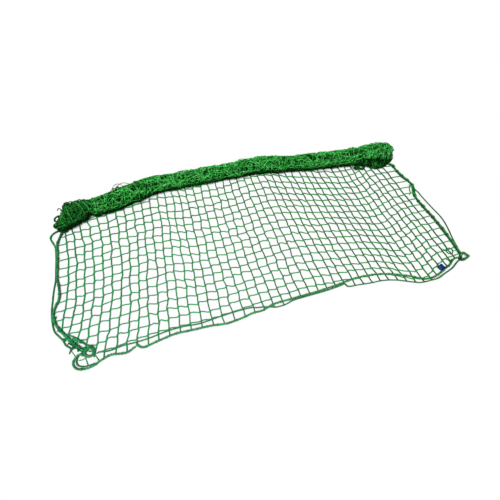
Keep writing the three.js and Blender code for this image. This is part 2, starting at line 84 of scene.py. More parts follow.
# Share of its light that a line's underside loses. Above 1 the sides lose some too. Ropes and
# cords are thick enough to lie in their own shade.
TWINE_SHELTER = 0.6
ROPE_SHELTER = 1.6


def placed(points: np.ndarray) -> np.ndarray:
    """Plan millimetres to row-frame metres: (point - CENTRE) / 1000."""
    return (points - np.array(CENTRE)) * MM


def unit(vectors: np.ndarray) -> np.ndarray:
    """Vectors scaled to length 1: v / |v|."""
    return vectors / np.maximum(np.linalg.norm(vectors, axis=-1, keepdims=True), 1e-9)


def ease(share: np.ndarray) -> np.ndarray:
    """Share that starts and ends slowly: 3 t^2 - 2 t^3."""
    return share * share * (3 - 2 * share)


def bell(away: np.ndarray, reach: float, power: int = 2) -> np.ndarray:
    """Bell that is 1 at its middle and falls off over `reach`: exp(-(away / reach)^power)."""
    return np.exp(-((away / reach) ** power))


def swung(u: np.ndarray, v: np.ndarray, degrees: float) -> tuple[np.ndarray, np.ndarray]:
    """Plan lengths turned about the upright: (u cos - v sin, u sin + v cos).

    Args:
        u: lengths along x.
        v: lengths along y.
        degrees: how far they are turned.

    Returns:
        Their lengths along x and along y.
    """
    c, s = math.cos(math.radians(degrees)), math.sin(math.radians(degrees))
    return u * c - v * s, u * s + v * c


def run_along(paths: np.ndarray) -> np.ndarray:
    """Length along each path up to each of its points: the sum of the steps before it."""
    steps = np.linalg.norm(np.diff(paths, axis=-2), axis=-1)
    return np.concatenate([np.zeros((*steps.shape[:-1], 1)), np.cumsum(steps, axis=-1)], axis=-1)


# Surfaces.


@dataclass
class Surface:
    """Quads of one mesh, in plan millimetres.

    `lay` holds, for every corner of every quad, the length along the strand and the turn round
    it. `tone` holds one number a point: 0 is hidden deep in the roll, 1 is out in the light.
    """

    points: np.ndarray
    quads: np.ndarray
    lay: np.ndarray
    tone: np.ndarray

    def dimmed(self, share: float) -> Surface:
        """The same surface with this share of its tone."""
        return replace(self, tone=self.tone * share)


def joined(parts: list[Surface]) -> Surface:
    """One surface out of several, its quads renumbered by the points that come before.

    Args:
        parts: the surfaces to put together.

    Returns:
        All of them as one surface.
    """
    starts = np.cumsum([0] + [len(part.points) for part in parts[:-1]])
    return Surface(
        np.concatenate([part.points for part in parts]),
        np.concatenate([part.quads + start for part, start in zip(parts, starts)]),
        np.concatenate([part.lay for part in parts]),
        np.concatenate([part.tone for part in parts]),
    )


def ring_quads(strands: int, rings: int, sides: int) -> tuple[np.ndarray, np.ndarray]:
    """Quads between the rings of several strands, and quads that fill their ends.

    Between rings a quad is (here, ahead, ahead and beside, beside). In an end of n corners the
    quads are the rungs (i, i + 1, n - 2 - i, n - 1 - i).

    Args:
        strands: count of strands.
        rings: rings in each of them.
        sides: corners round a ring, an even number.

    Returns:
        (strands, rings - 1, sides, 4) and (ends' quads, 4) numbers of points.
    """
    base = np.arange(strands)[:, None, None] * rings * sides
    here = np.arange(sides)
    beside = (here + 1) % sides
    near = base + np.arange(rings - 1)[None, :, None] * sides
    far = near + sides
    quads = np.stack([near + here, far + here, far + beside, near + beside], axis=-1)
    rung = np.arange(sides // 2 - 1)
    first = base + np.stack([rung, rung + 1, sides - 2 - rung, sides - 1 - rung], axis=1)
    last = first[..., ::-1] + (rings - 1) * sides
    return quads, np.concatenate([first.reshape(-1, 4), last.reshape(-1, 4)])


def tubes(
    paths: np.ndarray,
    radii: np.ndarray | float,
    sides: int = 6,
    facing: np.ndarray | tuple[float, float, float] = UP,
    lobes: int = 0,
    lay_length: float = LAY_LENGTH,
    tone: np.ndarray | float = 1.0,
    shelter: float = TWINE_SHELTER,
) -> Surface:
    """Strands carried along many paths of equal point count.

    Point (s, k) = path(s) + r(s, a) (cos a side(s) + sin a up(s)), where a = 2 pi k / sides,
    side = tangent x facing and up = side x tangent. A laid rope has r = R (1 - groove (1 -
    |cos(lobes (a - w) / 2)|)), where w turns once in each lay length. The tone is the given one
    times 1 - shelter (1 - sky), where the sky is all seen by skin that looks up.

    Args:
        paths: (strands, steps, 3) places.
        radii: radius at each step, or one radius.
        sides: corners round a strand, an even number.
        facing: direction that a strand's upper side faces, never along the strand.
        lobes: strands that a laid rope shows, or 0 for a round one.
        lay_length: length in which the strands turn once.
        tone: how far out in the light each step is.
        shelter: share of the light that a strand's underside loses.

    Returns:
        The closed tubes as one surface.
    """
    strands, steps, _ = paths.shape
    tangent = unit(np.gradient(paths, axis=1))
    side = unit(np.cross(tangent, np.broadcast_to(facing, paths.shape)))
    up = np.cross(side, tangent)
    along = run_along(paths)
    angle = TURN * np.arange(sides) / sides
    radii = np.broadcast_to(radii, (strands, steps))
    reach = np.broadcast_to(radii[..., None], (strands, steps, sides))
    if lobes:
        turned = angle - TURN * along[..., None] / lay_length
        reach = reach * (1 - GROOVE * (1 - np.abs(np.cos(lobes * turned / 2))))
    ring = side[:, :, None] * np.cos(angle)[:, None] + up[:, :, None] * np.sin(angle)[:, None]
    points = paths[:, :, None] + reach[..., None] * ring

    quads, ends = ring_quads(strands, steps, sides)
    near, far, here = along[:, :-1, None], along[:, 1:, None], np.arange(sides)
    lay = np.stack([
        np.stack(np.broadcast_arrays(length, turn / sides), axis=-1)
        for length, turn in ((near, here), (far, here), (far, here + 1), (near, here + 1))
    ], axis=-2)
    no_sky, sky_span = -0.5, 1.1
    sky = np.clip((ring[..., 2] - no_sky) / sky_span, 0, 1)
    lit = np.clip(1 - shelter * (1 - sky), 0, 1)
    return Surface(
        points.reshape(-1, 3),
        np.concatenate([quads.reshape(-1, 4), ends]),
        np.concatenate([lay.reshape(-1, 4, 2), np.zeros((len(ends), 4, 2))]),
        (np.broadcast_to(tone, (strands, steps))[..., None] * lit).ravel(),
    )


def laid(
    path: np.ndarray,
    radius: np.ndarray | float,
    tone: np.ndarray | float,
    lay_length: float = LAY_LENGTH,
) -> Surface:
    """Three-strand rope along one path.

    Args:
        path: (steps, 3) places.
        radius: its radius at each step, or one radius.
        tone: how far out in the light each step is.
        lay_length: length in which its strands turn once.

    Returns:
        The rope's surface.
    """
    return tubes(
        path[None], radius, ROPE_SIDES, lobes=STRANDS, lay_length=lay_length, tone=tone,
        shelter=ROPE_SHELTER,
    )


def shell(points: np.ndarray, tone: float = 1.0) -> Surface:
    """Closed skin over rings of points that run the other way round, with each end filled.

    Args:
        points: (rings, sides, 3) places, an even number of sides.
        tone: how far out in the light it is.

    Returns:
        The closed surface.
    """
    rings, sides, _ = points.shape
    quads, ends = ring_quads(1, rings, sides)
    quads = np.concatenate([quads[..., [0, 3, 2, 1]].reshape(-1, 4), ends[:, ::-1]])
    lay = np.zeros((len(quads), 4, 2))
    return Surface(points.reshape(-1, 3), quads, lay, np.full(rings * sides, tone))


def install(
    name: str,
    surface: Surface,
    finish: bpy.types.Material,
    slot: str,
    *nodes: str,
) -> bpy.types.Object:
    """Makes a piece at the origin, sets it on the root body and lets it stand for its solids.

    Args:
        name: the piece's name.
        surface: its quads.
        finish: its material.
        slot: the record's material slot; not used.
        nodes: the solids that it replaces.

    Returns:
        The piece, linked to the scene.
    """
    mesh = bpy.data.meshes.new(name)
    mesh.vertices.add(len(surface.points))
    mesh.vertices.foreach_set("co", placed(surface.points).ravel())
    mesh.loops.add(surface.quads.size)
    mesh.loops.foreach_set("vertex_index", surface.quads.astype(np.int32).ravel())
    mesh.polygons.add(len(surface.quads))
    mesh.polygons.foreach_set("loop_start", np.arange(0, surface.quads.size, 4, dtype=np.int32))
    mesh.polygons.foreach_set("use_smooth", np.ones(len(surface.quads), bool))
    mesh.update(calc_edges=True)
    mesh.uv_layers.new(name="Lay").data.foreach_set("uv", surface.lay.ravel())
    mesh.attributes.new("tone", "FLOAT", "POINT").data.foreach_set("value", surface.tone)
    mesh.materials.append(finish)
    piece = bpy.data.objects.new(name, mesh)
    bpy.context.scene.collection.objects.link(piece)
    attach(piece, "root")
    if nodes:
        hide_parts(*nodes)
    LOG.info("%s: %d quads", name, len(surface.quads))
    return piece


# Tables and noise.


def eased(keys: np.ndarray, values: np.ndarray, at: np.ndarray) -> np.ndarray:
    """Smooth values between a table's rows: v0 (1 - e) + v1 e + s (m0 t (1-t)^2 - m1 t^2 (1-t)).

    Here t is the share of the way to the next row, e its eased share, s the rows' distance, and
    m0 and m1 the slopes over the rows on both sides.

    Args:
        keys: the rows' counting column.
        values: the rows' values, in columns.
        at: where to read.

    Returns:
        The values at each place, their columns last.
    """
    at = np.asarray(at, float)
    last = len(keys) - 1
    row = np.clip(np.searchsorted(keys, at, side="left") - 1, 0, last - 1)
    before = np.maximum(np.arange(last + 1) - 1, 0)
    after = np.minimum(np.arange(last + 1) + 1, last)
    slope = (values[after] - values[before]) / (keys[after] - keys[before])[:, None]
    span = (keys[row + 1] - keys[row])[..., None]
    t = (at - keys[row])[..., None] / span
    level = values[row] * (1 - ease(t)) + values[row + 1] * ease(t)
    return level + span * (slope[row] * t * (1 - t) ** 2 - slope[row + 1] * t * t * (1 - t))


def patchy(grid: np.ndarray, u: np.ndarray, v: np.ndarray) -> np.ndarray:
    """Smooth value between a grid's numbers: blends of the four round (u, v), by eased shares.

    Args:
        grid: (rows, columns) random numbers, repeated past its edges.
        u: place along the rows.
        v: place along the columns.

    Returns:
        The value at each place.
    """
    row, column = np.floor(u).astype(int), np.floor(v).astype(int)
    s, t = ease(u - row), ease(v - column)
    rows, columns = grid.shape
    near, far = (
        grid[at, column % columns] * (1 - t) + grid[at, (column + 1) % columns] * t
        for at in (row % rows, (row + 1) % rows)
    )
    return near * (1 - s) + far * s


def smoothed(stops: np.ndarray, samples: int, spacing: int) -> np.ndarray:
    """Centripetal Catmull-Rom line through stops, an even count of samples in every span.

    Args:
        stops: (n, k) values.
        samples: samples in each span.
        spacing: how many of the first columns set the spacing.

    Returns:
        ((n - 1) samples + 1, k) values along the line.
    """
    stops = np.asarray(stops, float)
    padded = np.concatenate([[2 * stops[0] - stops[1]], stops, [2 * stops[-1] - stops[-2]]])
    gap = np.sqrt(np.linalg.norm(np.diff(padded[:, :spacing], axis=0), axis=1))[:, None]
    d0, d1, d2 = gap[:-2], gap[1:-1], gap[2:]
    p0, p1, p2, p3 = padded[:-3], padded[1:-2], padded[2:-1], padded[3:]
    m1 = ((p1 - p0) / d0 - (p2 - p0) / (d0 + d1) + (p2 - p1) / d1) * d1
    m2 = ((p2 - p1) / d1 - (p3 - p1) / (d1 + d2) + (p3 - p2) / d2) * d1
    t = (np.arange(samples) / samples)[:, None, None]
    line = (
        p1 + t * m1 + t**2 * (-3 * p1 + 3 * p2 - 2 * m1 - m2) + t**3 * (2 * p1 - 2 * p2 + m1 + m2)
    )
    return np.concatenate([line.transpose(1, 0, 2).reshape(-1, stops.shape[1]), stops[-1:]])


def respaced(line: np.ndarray, step: float) -> np.ndarray:
    """The line again, its samples an even length of about `step` apart.

    Args:
        line: (n, 3 or more) samples, places first.
        step: length between two of the new samples.

    Returns:
        (count, columns) samples.
    """
    along = run_along(line[:, :3])
    at = np.linspace(0, along[-1], max(3, round(along[-1] / step) + 1))
    return np.stack([np.interp(at, along, column) for column in line.T], axis=1)


# Ropes, cords and twine.


@dataclass(frozen=True)
class Route:
    """Way of one rope or cord.

    A stop is (x, y), (x, y, swell) or (x, y, swell, height of the underside). The swell is 1 and
    the height is `under` where a stop doesn't give them.
    """

    radius: float
    under: float
    stops: tuple[tuple[float, ...], ...]

    def line(self, step: float, thickness: float = 1.0) -> np.ndarray:
        """Samples of (x, y, z of the middle, swell): smooth in the plan, eased in the rest.

        Args:
            step: length between two samples.
            thickness: radius of what lies here, as a share of the route's.

        Returns:
            (n, 4) values.
        """
        table = np.array([(*stop, *(1.0, self.under)[len(stop) - 2 :]) for stop in self.stops])
        samples = 24
        fine = smoothed(table, samples, spacing=2)
        rows = np.arange(len(fine)) / samples
        row = np.minimum(rows.astype(int), len(table) - 2)
        part = ease(rows - row)[:, None]
        swell, under = (table[row, 2:] * (1 - part) + table[row + 1, 2:] * part).T
        height = under + self.radius * swell
        line = respaced(np.column_stack([fine[:, :2], height, swell]), step)
        line[:, 2] += self.radius * (thickness - 1)
        return line


# Routes from the roll outwards, and along the front from left to right.
LEFT_ROPE = Route(ROPE_RADIUS, NET, (
    (-905, 338), (-917, 322), (-931, 300), (-943, 277), (-955, 246, 1.1), (-958, 190), (-965, 120),
    (-971, 60), (-968, 15), (-973, -45, 1.2), (-992, -80), (-1003, -112), (-1002, -140, 1.3),
    (-989, -180), (-969, -214, 1.4), (-945, -250, 1.1), (-924, -284, 1.5), (-898, -310),
))
LEFT_CORD = Route(CORD_RADIUS, FLOOR, (
    (-918, 330, 1, NET), (-953, 321, 1, NET), (-972, 312), (-982, 290), (-973, 262), (-966, 230),
    (-967.3, 180), (-974, 110), (-980, 55), (-992, 5), (-1002, -50), (-1009, -95),
    (-1010, -130, 1.2), (-1009, -165), (-1004, -192), (-989, -217), (-976, -238), (-966, -264),
    (-948, -285, 1.2), (-957, -304, 0.6),
))
FRONT_ROPE = Route(ROPE_RADIUS, NET, (
    (-684, -347), (-677, -358), (-662, -369), (-600, -362), (-520, -352), (-440, -357),
    (-350, -363), (-285, -373), (-215, -370), (-150, -361), (-105, -362), (-80, -357), (-45, -348),
    (60, -347), (200, -348), (320, -343), (400, -337), (490, -342), (570, -357), (650, -385),
    (715, -414), (765, -443), (820, -450), (872, -440), (917, -424), (962, -409), (990, -390),
    (1030, -385, 1.1),
))
FRONT_CORD = Route(CORD_RADIUS, NET, (
    (-843, -333), (-800, -341), (-740, -336), (-690, -338), (-630, -337), (-550, -329),
    (-480, -329), (-400, -337), (-300, -332), (-210, -330), (-150, -333), (-118, -342),
    (-92, -349, 1, ROPE_TOP), (-56, -360, 1, ROPE_TOP), (-30, -365), (14, -365), (60, -356),
    (140, -355.5), (240, -356), (325, -351.5), (346, -350), (355, -366, 1.2), (410, -374),
    (480, -383), (550, -389), (620, -407), (690, -437), (740, -456), (800, -461), (850, -461, 1.3),
    (900, -448), (960, -432), (1010, -408), (1040, -398),
))
CORNER_ROPE = Route(ROPE_RADIUS, NET, (
    (-897, -332, 1.1), (-918, -322), (-938, -333, 1, FLOOR), (-946, -354, 1, FLOOR),
    (-934, -376, 1, FLOOR), (-905, -387), (-872, -385), (-835, -371), (-795, -361), (-757, -368),
    (-728, -371, 1.1), (-693, -357),
))
GATHERED_EDGE = Route(CORD_RADIUS, NET, (
    (-951, -222), (-932, -238, 1.5), (-911, -256), (-896, -276, 1.6), (-881, -292, 1.1),
    (-866, -302, 1.5),
))
RIGHT_ROPE = Route(ROPE_RADIUS, NET, (
    (980, 322, 1.3), (1003, 297, 1.4), (1008, 255), (1014, 222, 1.5), (1024, 190, 1.5),
    (1040, 158, 1.1), (1048, 122), (1038, 88), (1019, 55, 1.3), (1018, 15), (1024, -30, 1.4),
    (1031, -70, 1.2), (1039, -110, 1.4), (1045, -155, 1.1), (1050, -205, 1.6), (1053, -255, 1.2),
    (1056, -310, 1.4), (1055, -368, 1.5),
))
RIGHT_CORD = Route(CORD_RADIUS, FLOOR, (
    (1047.3, 98), (1056, 80), (1062, 40), (1071, -10), (1082, -65), (1093, -115), (1095, -160),
    (1088, -215), (1077, -270), (1070, -320), (1067, -348), (1063, -366, 1.2),
))


@dataclass(frozen=True)
class Line:
    """A rope or cord along a route: a laid one has strands, a braided one is plain and round."""

    route: Route
    laid: bool
    # Its radius, and how much of the route's swell is its own, as shares of the route's.
    thickness: float
    swelling: float
    # Length at its start that lies in the roll's shade.
    shaded: float = 0.0

    def tone(self, line: np.ndarray) -> np.ndarray:
        """Tone along it: (0.15 + 0.85 out) (0.84 + 0.16 patch), out the eased share out of shade.

        Args:
            line: its samples.

        Returns:
            One number for each sample. The patches are 14 mm long and seeded.
        """
        darkest, patch_length, unevenness, palest = 0.15, 14, 0.16, 0.4
        along = run_along(line[:, :3])
        out = ease(np.clip(along / max(self.shaded, 1e-6), 0, 1))
        grid = np.random.default_rng(len(line)).normal(0, 1, (97, 1))
        patches = patchy(grid, along / patch_length, np.zeros(len(along)))
        uneven = np.clip(1 - unevenness + unevenness * patches, palest, 1)
        return (darkest + (1 - darkest) * out) * uneven

    def surface(self) -> Surface:
        """Rope with a lay of a full turn in 40 mm, or round cord.

        Returns:
            Its surface.
        """
        line = self.route.line(2.5 if self.laid else 4.0, self.thickness)
        radius = self.route.radius * self.thickness * (1 + self.swelling * (line[:, 3] - 1))
        if self.laid:
            return laid(line[:, :3], radius, self.tone(line))
        return tubes(line[None, :, :3], radius, 10, tone=self.tone(line), shelter=ROPE_SHELTER)


@dataclass(frozen=True)
class Lacing:
    """Turns of twine wound round a rope at several places, a few turns at each.

    Each is a helix: middle(s + width (u - 0.5)) + (R + lift) (cos a side + sin a up), where s is
    its place along the rope, u goes from 0 to 1 and a = 2 pi turns u.
    """

    route: Route
    places: int
    turns: float
    # Length of rope that one place covers, and how far the twine's middle stands off the rope.
    width: float
    lift: float
    radius: float
    # How far out in the light its twine is: below 1 is painted shade.
    tone: float = 1.0
    # The rope's radius as a share of the route's, and how much of its swell is rope.
    thickness: float = 1.2
    swelling: float = 0.25

    def surface(self) -> Surface:
        """All its windings, none of them under the floor.

        Returns:
            The windings as one surface.
        """
        samples_a_turn, next_start = 14, 2.4
        line = self.route.line(1.0, self.thickness)
        length = len(line) - 1.0
        u = np.linspace(0, 1, int(self.turns * samples_a_turn) + 1)
        number = np.arange(self.places)[:, None]
        at = (number + 1) / (self.places + 1) * length + (u - 0.5) * self.width
        at = np.clip(at, 0, length)
        tangent = unit(np.gradient(line[:, :3], axis=0))
        columns = np.column_stack([line, tangent]).T
        found = np.stack([np.interp(at, np.arange(len(line)), column) for column in columns], -1)
        middle, swell, ahead = found[..., :3], found[..., 3], found[..., 4:]
        side = unit(np.cross(ahead, UP))
        up = np.cross(side, ahead)
        angle = (TURN * self.turns * u + next_start * number)[..., None]
        skin = self.route.radius * self.thickness * (1 - self.swelling + self.swelling * swell)
        out = np.cos(angle) * side + np.sin(angle) * up
        path = middle + (skin + self.lift)[..., None] * out
        path[..., 2] = np.maximum(path[..., 2], self.radius)
        return tubes(path, self.radius, facing=out, tone=self.tone)


@dataclass(frozen=True)
class Twine:
    """One loose length of twine, or a loose bundle: stops of (x, y, height of its middle)."""

    radius: float
    stops: tuple[tuple[float, float, float], ...]
    # Strands in the bundle, and how far their stops stray from the given ones.
    count: int = 1
    spread: float = 3.2
    # How far out in the light it is: below 1 is painted shade.
    tone: float = 1.0

    def surface(self) -> Surface:
        """Smooth strands through the stops, each stop of a bundle's strand strayed a little.

        Returns:
            Their surface.
        """
        stops = np.asarray(self.stops, float)
        rng = np.random.default_rng(len(stops))
        strays = rng.normal(0, self.spread, (self.count, *stops.shape))
        strays[0] = 0
        return joined([
            tubes(
                respaced(smoothed(stops + stray, samples=12, spacing=3), step=2.5)[None],
                self.radius, sides=8, tone=self.tone,
            )
            for stray in strays
        ])


def knot(
    x: float, y: float, z: float, size: float, radius: float, turn: float, tone: float
) -> Surface:
    """Overhand knot: the trefoil (sin t + 2 sin 2t, cos t - 2 cos 2t, -1.6 sin 3t), turned.

    Args:
        x: x of its middle.
        y: y of its middle.
        z: height of its middle.
        size: length that a unit of the trefoil has.
        radius: the twine's radius.
        turn: degrees that the knot is turned about the upright.
        tone: how far out in the light it is.

    Returns:
        The knot's surface.
    """
    t = np.linspace(0, TURN * 1.01, 54)
    u, v = np.sin(t) + 2 * np.sin(2 * t), np.cos(t) - 2 * np.cos(2 * t)
    path = np.stack([*swung(u, v, turn), -1.6 * np.sin(3 * t)], axis=-1) * size
    return tubes((path + (x, y, z))[None], radius, sides=8, tone=tone)


# The lie of the netting.


# Warp lines along the folds: mesh, then x and y at the front weft, at row 8 and at row 16.
FOLDS = np.array([
    (0, -1075, -345, -975, -20, -950, 330),
    (3, -950, -345, -857, -5, -842, 345),
    (7, -768, -330, -688, 22, -662, 375),
    (12, -536, -318, -478, 43, -435, 402),
    (16, -340, -328, -309, 19, -278, 385),
    (21, -89, -318, -82, 28, -62, 397),
    (26, 152, -311, 151, 53, 150, 425),
    (31, 394, -334, 373, 13, 360, 366),
    (35, 581, -360, 549, -27, 523, 322),
    (39, 762, -435, 722, -63, 697, 293),
    (43, 935, -375, 889, -17, 853, 350),
    (46, 1050, -365, 1018, -12, 975, 345),
], float)

# The roll from left to right: x and y of its core line, radius, and bulge at its front.
ROLL = np.array([
    (-949, 336, 22, 0), (-930, 340, 33, 0), (-900, 354, 44, 0), (-870, 368, 50, 0),
    (-830, 383, 51, 0), (-750, 397, 47, 0), (-640, 416, 48, 0), (-520, 450, 48, 0),
    (-400, 470, 44, 0), (-200, 471, 43, 0), (0, 470, 44, 0), (140, 469, 47, 0), (300, 447, 45, 0),
    (450, 424, 46, 0), (600, 409, 47, 0), (740, 399, 49, 4), (850, 394, 50, 26),
    (930, 391, 51, 48), (980, 389, 50, 34), (1008, 390, 44, 6), (1026, 391, 30, 0),
], float)

# Twists of the wound netting: ridges round it, length of a wave along it, shift, depth.
TWISTS = ((3, 214, 0, 0.03), (2, -358, 0, 0.025), (0, 145, 1, 0.02), (4, 119, 0, 0.02))

# Dents and lumps of the roll: x, degrees round it, spread along it, spread round it, depth. A
# lump's depth is negative.
DENTS = (
    (-950, 60, 22, 170, 10), (-902, 140, 19, 44, 22), (-930, 140, 14, 50, 10),
    (-872, 118, 14, 36, -6), (-850, 122, 22, 36, -3), (-795, 112, 28, 40, -8),
    (-788, -15, 19, 60, 30), (-845, -25, 30, 40, 6), (-730, -25, 60, 40, 4),
    (-752, -22, 16, 40, -6), (-757, 115, 12, 35, 6), (-690, 112, 12, 30, -4),
    (-610, 112, 10, 30, -4), (800, 12, 40, 7, 8), (850, 2, 40, 7, 12), (900, -2, 40, 7, 18),
    (950, -8, 34, 7, 14), (885, -30, 48, 26, -20), (1006, -22, 18, 34, -9), (1014, 60, 12, 34, -5),
    (1018, -5, 12, 30, -10), (745, 112, 26, 30, -5), (778, 112, 12, 30, 6), (850, 112, 20, 30, -5),
    (934, 112, 16, 30, -4), (975, 100, 14, 30, -5),
)

# The lobe that bunches out at the roll's front right and catches light: x, degrees round it, its
# two spreads, and how much light it gains.
LOBE = (882, -18, 52, 16, 0.6)

# The dark crease over it: x, degrees round the roll where x is 840, its two spreads, degrees that
# it sinks in each millimetre of x, and the share of light that it loses.
CREASE_FROM = 840
CREASE = (900, 3, 90, 7, 0.1, 0.97)


def crossing(line: np.ndarray, axis: int, value: np.ndarray, highest: bool = False) -> np.ndarray:
    """Where a line passes values of one axis, its highest or lowest place on the other.

    Args:
        line: (n, 2 or more) places.
        axis: 0 for x, 1 for y.
        value: the values to pass.
        highest: whether the highest place counts, or the lowest.

    Returns:
        One place for each value, infinite where the line doesn't reach.
    """
    value = np.asarray(value, float)[..., None]
    (a, b), (a_other, b_other) = ((line[:-1, k], line[1:, k]) for k in (axis, 1 - axis))
    hit = ((a - value) * (b - value) <= 0) & (a != b)
    step = np.where(a == b, 1.0, b - a)
    other = a_other + (value - a) / step * (b_other - a_other)
    if highest:
        return np.where(hit, other, -np.inf).max(axis=-1)
    return np.where(hit, other, np.inf).min(axis=-1)


@dataclass
class Roll:
    """The wound netting: a skin round a core line, with its twists, bulge and flat underside."""

    # How deep its underside is pressed flat, and the height and length of its lumps.
    flat: float = 3.0
    lumps: float = 1.8
    lump_length: float = 34.0
    # Where its front bulges, as radians round it, and how far the bulge spreads.
    bulge_at: float = -0.55
    bulge_spread: float = 0.5
    # Half the width of the strip that it rests on. Beside it, netting lies under the roll.
    strip: float = 14.0

    def __post_init__(self) -> None:
        """Draws the seeded lumps."""
        self.grid = np.random.default_rng(3).normal(0, 1, (61, 9))

    def core(self, x: np.ndarray) -> tuple[np.ndarray, np.ndarray, np.ndarray]:
        """y, radius and bulge at each x, smooth between the rows of ROLL.

        Args:
            x: places along the roll. Past an end, the end's row holds.

        Returns:
            The three values at each place.
        """
        held = np.clip(x, ROLL[0, 0], ROLL[-1, 0])
        return np.moveaxis(eased(ROLL[:, 0], ROLL[:, 1:], held), -1, 0)

    def skin(self, x: np.ndarray, angle: np.ndarray, lift: np.ndarray | float) -> np.ndarray:
        """Places on the roll, angle 0 at its front and a quarter turn at its top.

        out = reach cos(angle) forward, z = reach sin(angle) + radius - flat, reach = radius (1 +
        ridges) + bulge + lift + lumps - dents, each dent a bell round its middle. The ridges fade
        out towards the underside.

        Args:
            x: place along the roll.
            angle: turn round it, in radians.
            lift: how far off its skin.

        Returns:
            (..., 3) places.
        """
        x, angle = np.broadcast_arrays(np.asarray(x, float), np.asarray(angle, float))
        held = np.clip(x, ROLL[0, 0], ROLL[-1, 0])
        y, radius, bulge = self.core(held)
        slope = (self.core(held + 1)[0] - self.core(held - 1)[0]) / 2
        forward = unit(np.stack([slope, -np.ones_like(slope)], axis=-1))
        wrapped = np.arctan2(np.sin(angle), np.cos(angle))
        ridges = sum(
            depth * np.sin(count * wrapped + TURN * x / pitch + shift)
            for count, pitch, shift, depth in TWISTS
        )
        fades_from, fades_over = -0.6, 0.8
        upper = ease(np.clip((np.sin(angle) - fades_from) / fades_over, 0, 1))
        bulge = bulge * bell(wrapped - self.bulge_at, self.bulge_spread)
        reach = radius * (1 + ridges * upper) + bulge + lift
        columns = self.grid.shape[1]
        reach = reach + self.lumps * patchy(self.grid, x / self.lump_length, angle / TURN * columns)
        for at, degrees, long, wide, depth in DENTS:
            reach = reach - depth * bell(x - at, long) * bell(np.degrees(wrapped) - degrees, wide)
        thinnest = 4
        reach = np.maximum(reach, thinnest)
        out = reach * np.cos(angle)
        z = reach * np.sin(angle) + radius - self.flat
        floor = np.where(np.abs(out) > self.strip, NET, FLOOR) + TWINE_RADIUS
        return np.stack(
            [x + forward[..., 0] * out, y + forward[..., 1] * out, np.maximum(z, floor)], axis=-1
        )

    def outward(self, paths: np.ndarray) -> np.ndarray:
        """Direction from the roll's core to places on it, the core at nine tenths of its height.

        Args:
            paths: (..., 3) places.

        Returns:
            (..., 3) directions.
        """
        y, radius, _ = self.core(paths[..., 0])
        return unit(paths - np.stack([paths[..., 0], y, radius * 0.9], axis=-1))

    def light(self, x: np.ndarray, angle: np.ndarray) -> np.ndarray:
        """Share of the light at a place: 0.08 under the roll, 1 from its front upwards.

        The bunched lobe at its right end stands out into the light, under a dark crease. The
        bundle at its left end is packed more closely, so 0.42 less light gets into it.

        Args:
            x: place along the roll.
            angle: turn round it, in radians.

        Returns:
            The share at each place.
        """
        degrees = np.degrees(np.arctan2(np.sin(angle), np.cos(angle)))
        lowest, dark_below, span = 0.08, -0.28, 0.55
        share = lowest + (1 - lowest) * np.clip((np.sin(angle) - dark_below) / span, 0, 1)
        at, middle, long, wide, gain = LOBE
        lobe = gain * bell(x - at, long) * bell(degrees - middle, wide)
        at, middle, long, wide, sinking, depth = CREASE
        sunk = degrees - middle + sinking * (x - CREASE_FROM)
        crease = depth * bell(x - at, long, power=4) * bell(sunk, wide)
        bundle_end, fading, loss = -728, 70, 0.42
        bundle = loss * np.clip((bundle_end - x) / fading, 0, 1)
        return np.clip(share + lobe, 0, 1) * (1 - crease) * (1 - bundle)

    def foot(self, x: np.ndarray) -> np.ndarray:
        """Line in the plan where the spread netting runs in under the roll.

        Args:
            x: places along the roll.

        Returns:
            y at each of them: that of a circle's skin at the netting's height, and 3.5 further.
        """
        gap, further = 0.3, 3.5
        y, radius, _ = self.core(x)
        rise = self.flat + NET + gap
        return y - np.sqrt(2 * radius * rise - rise * rise) - further


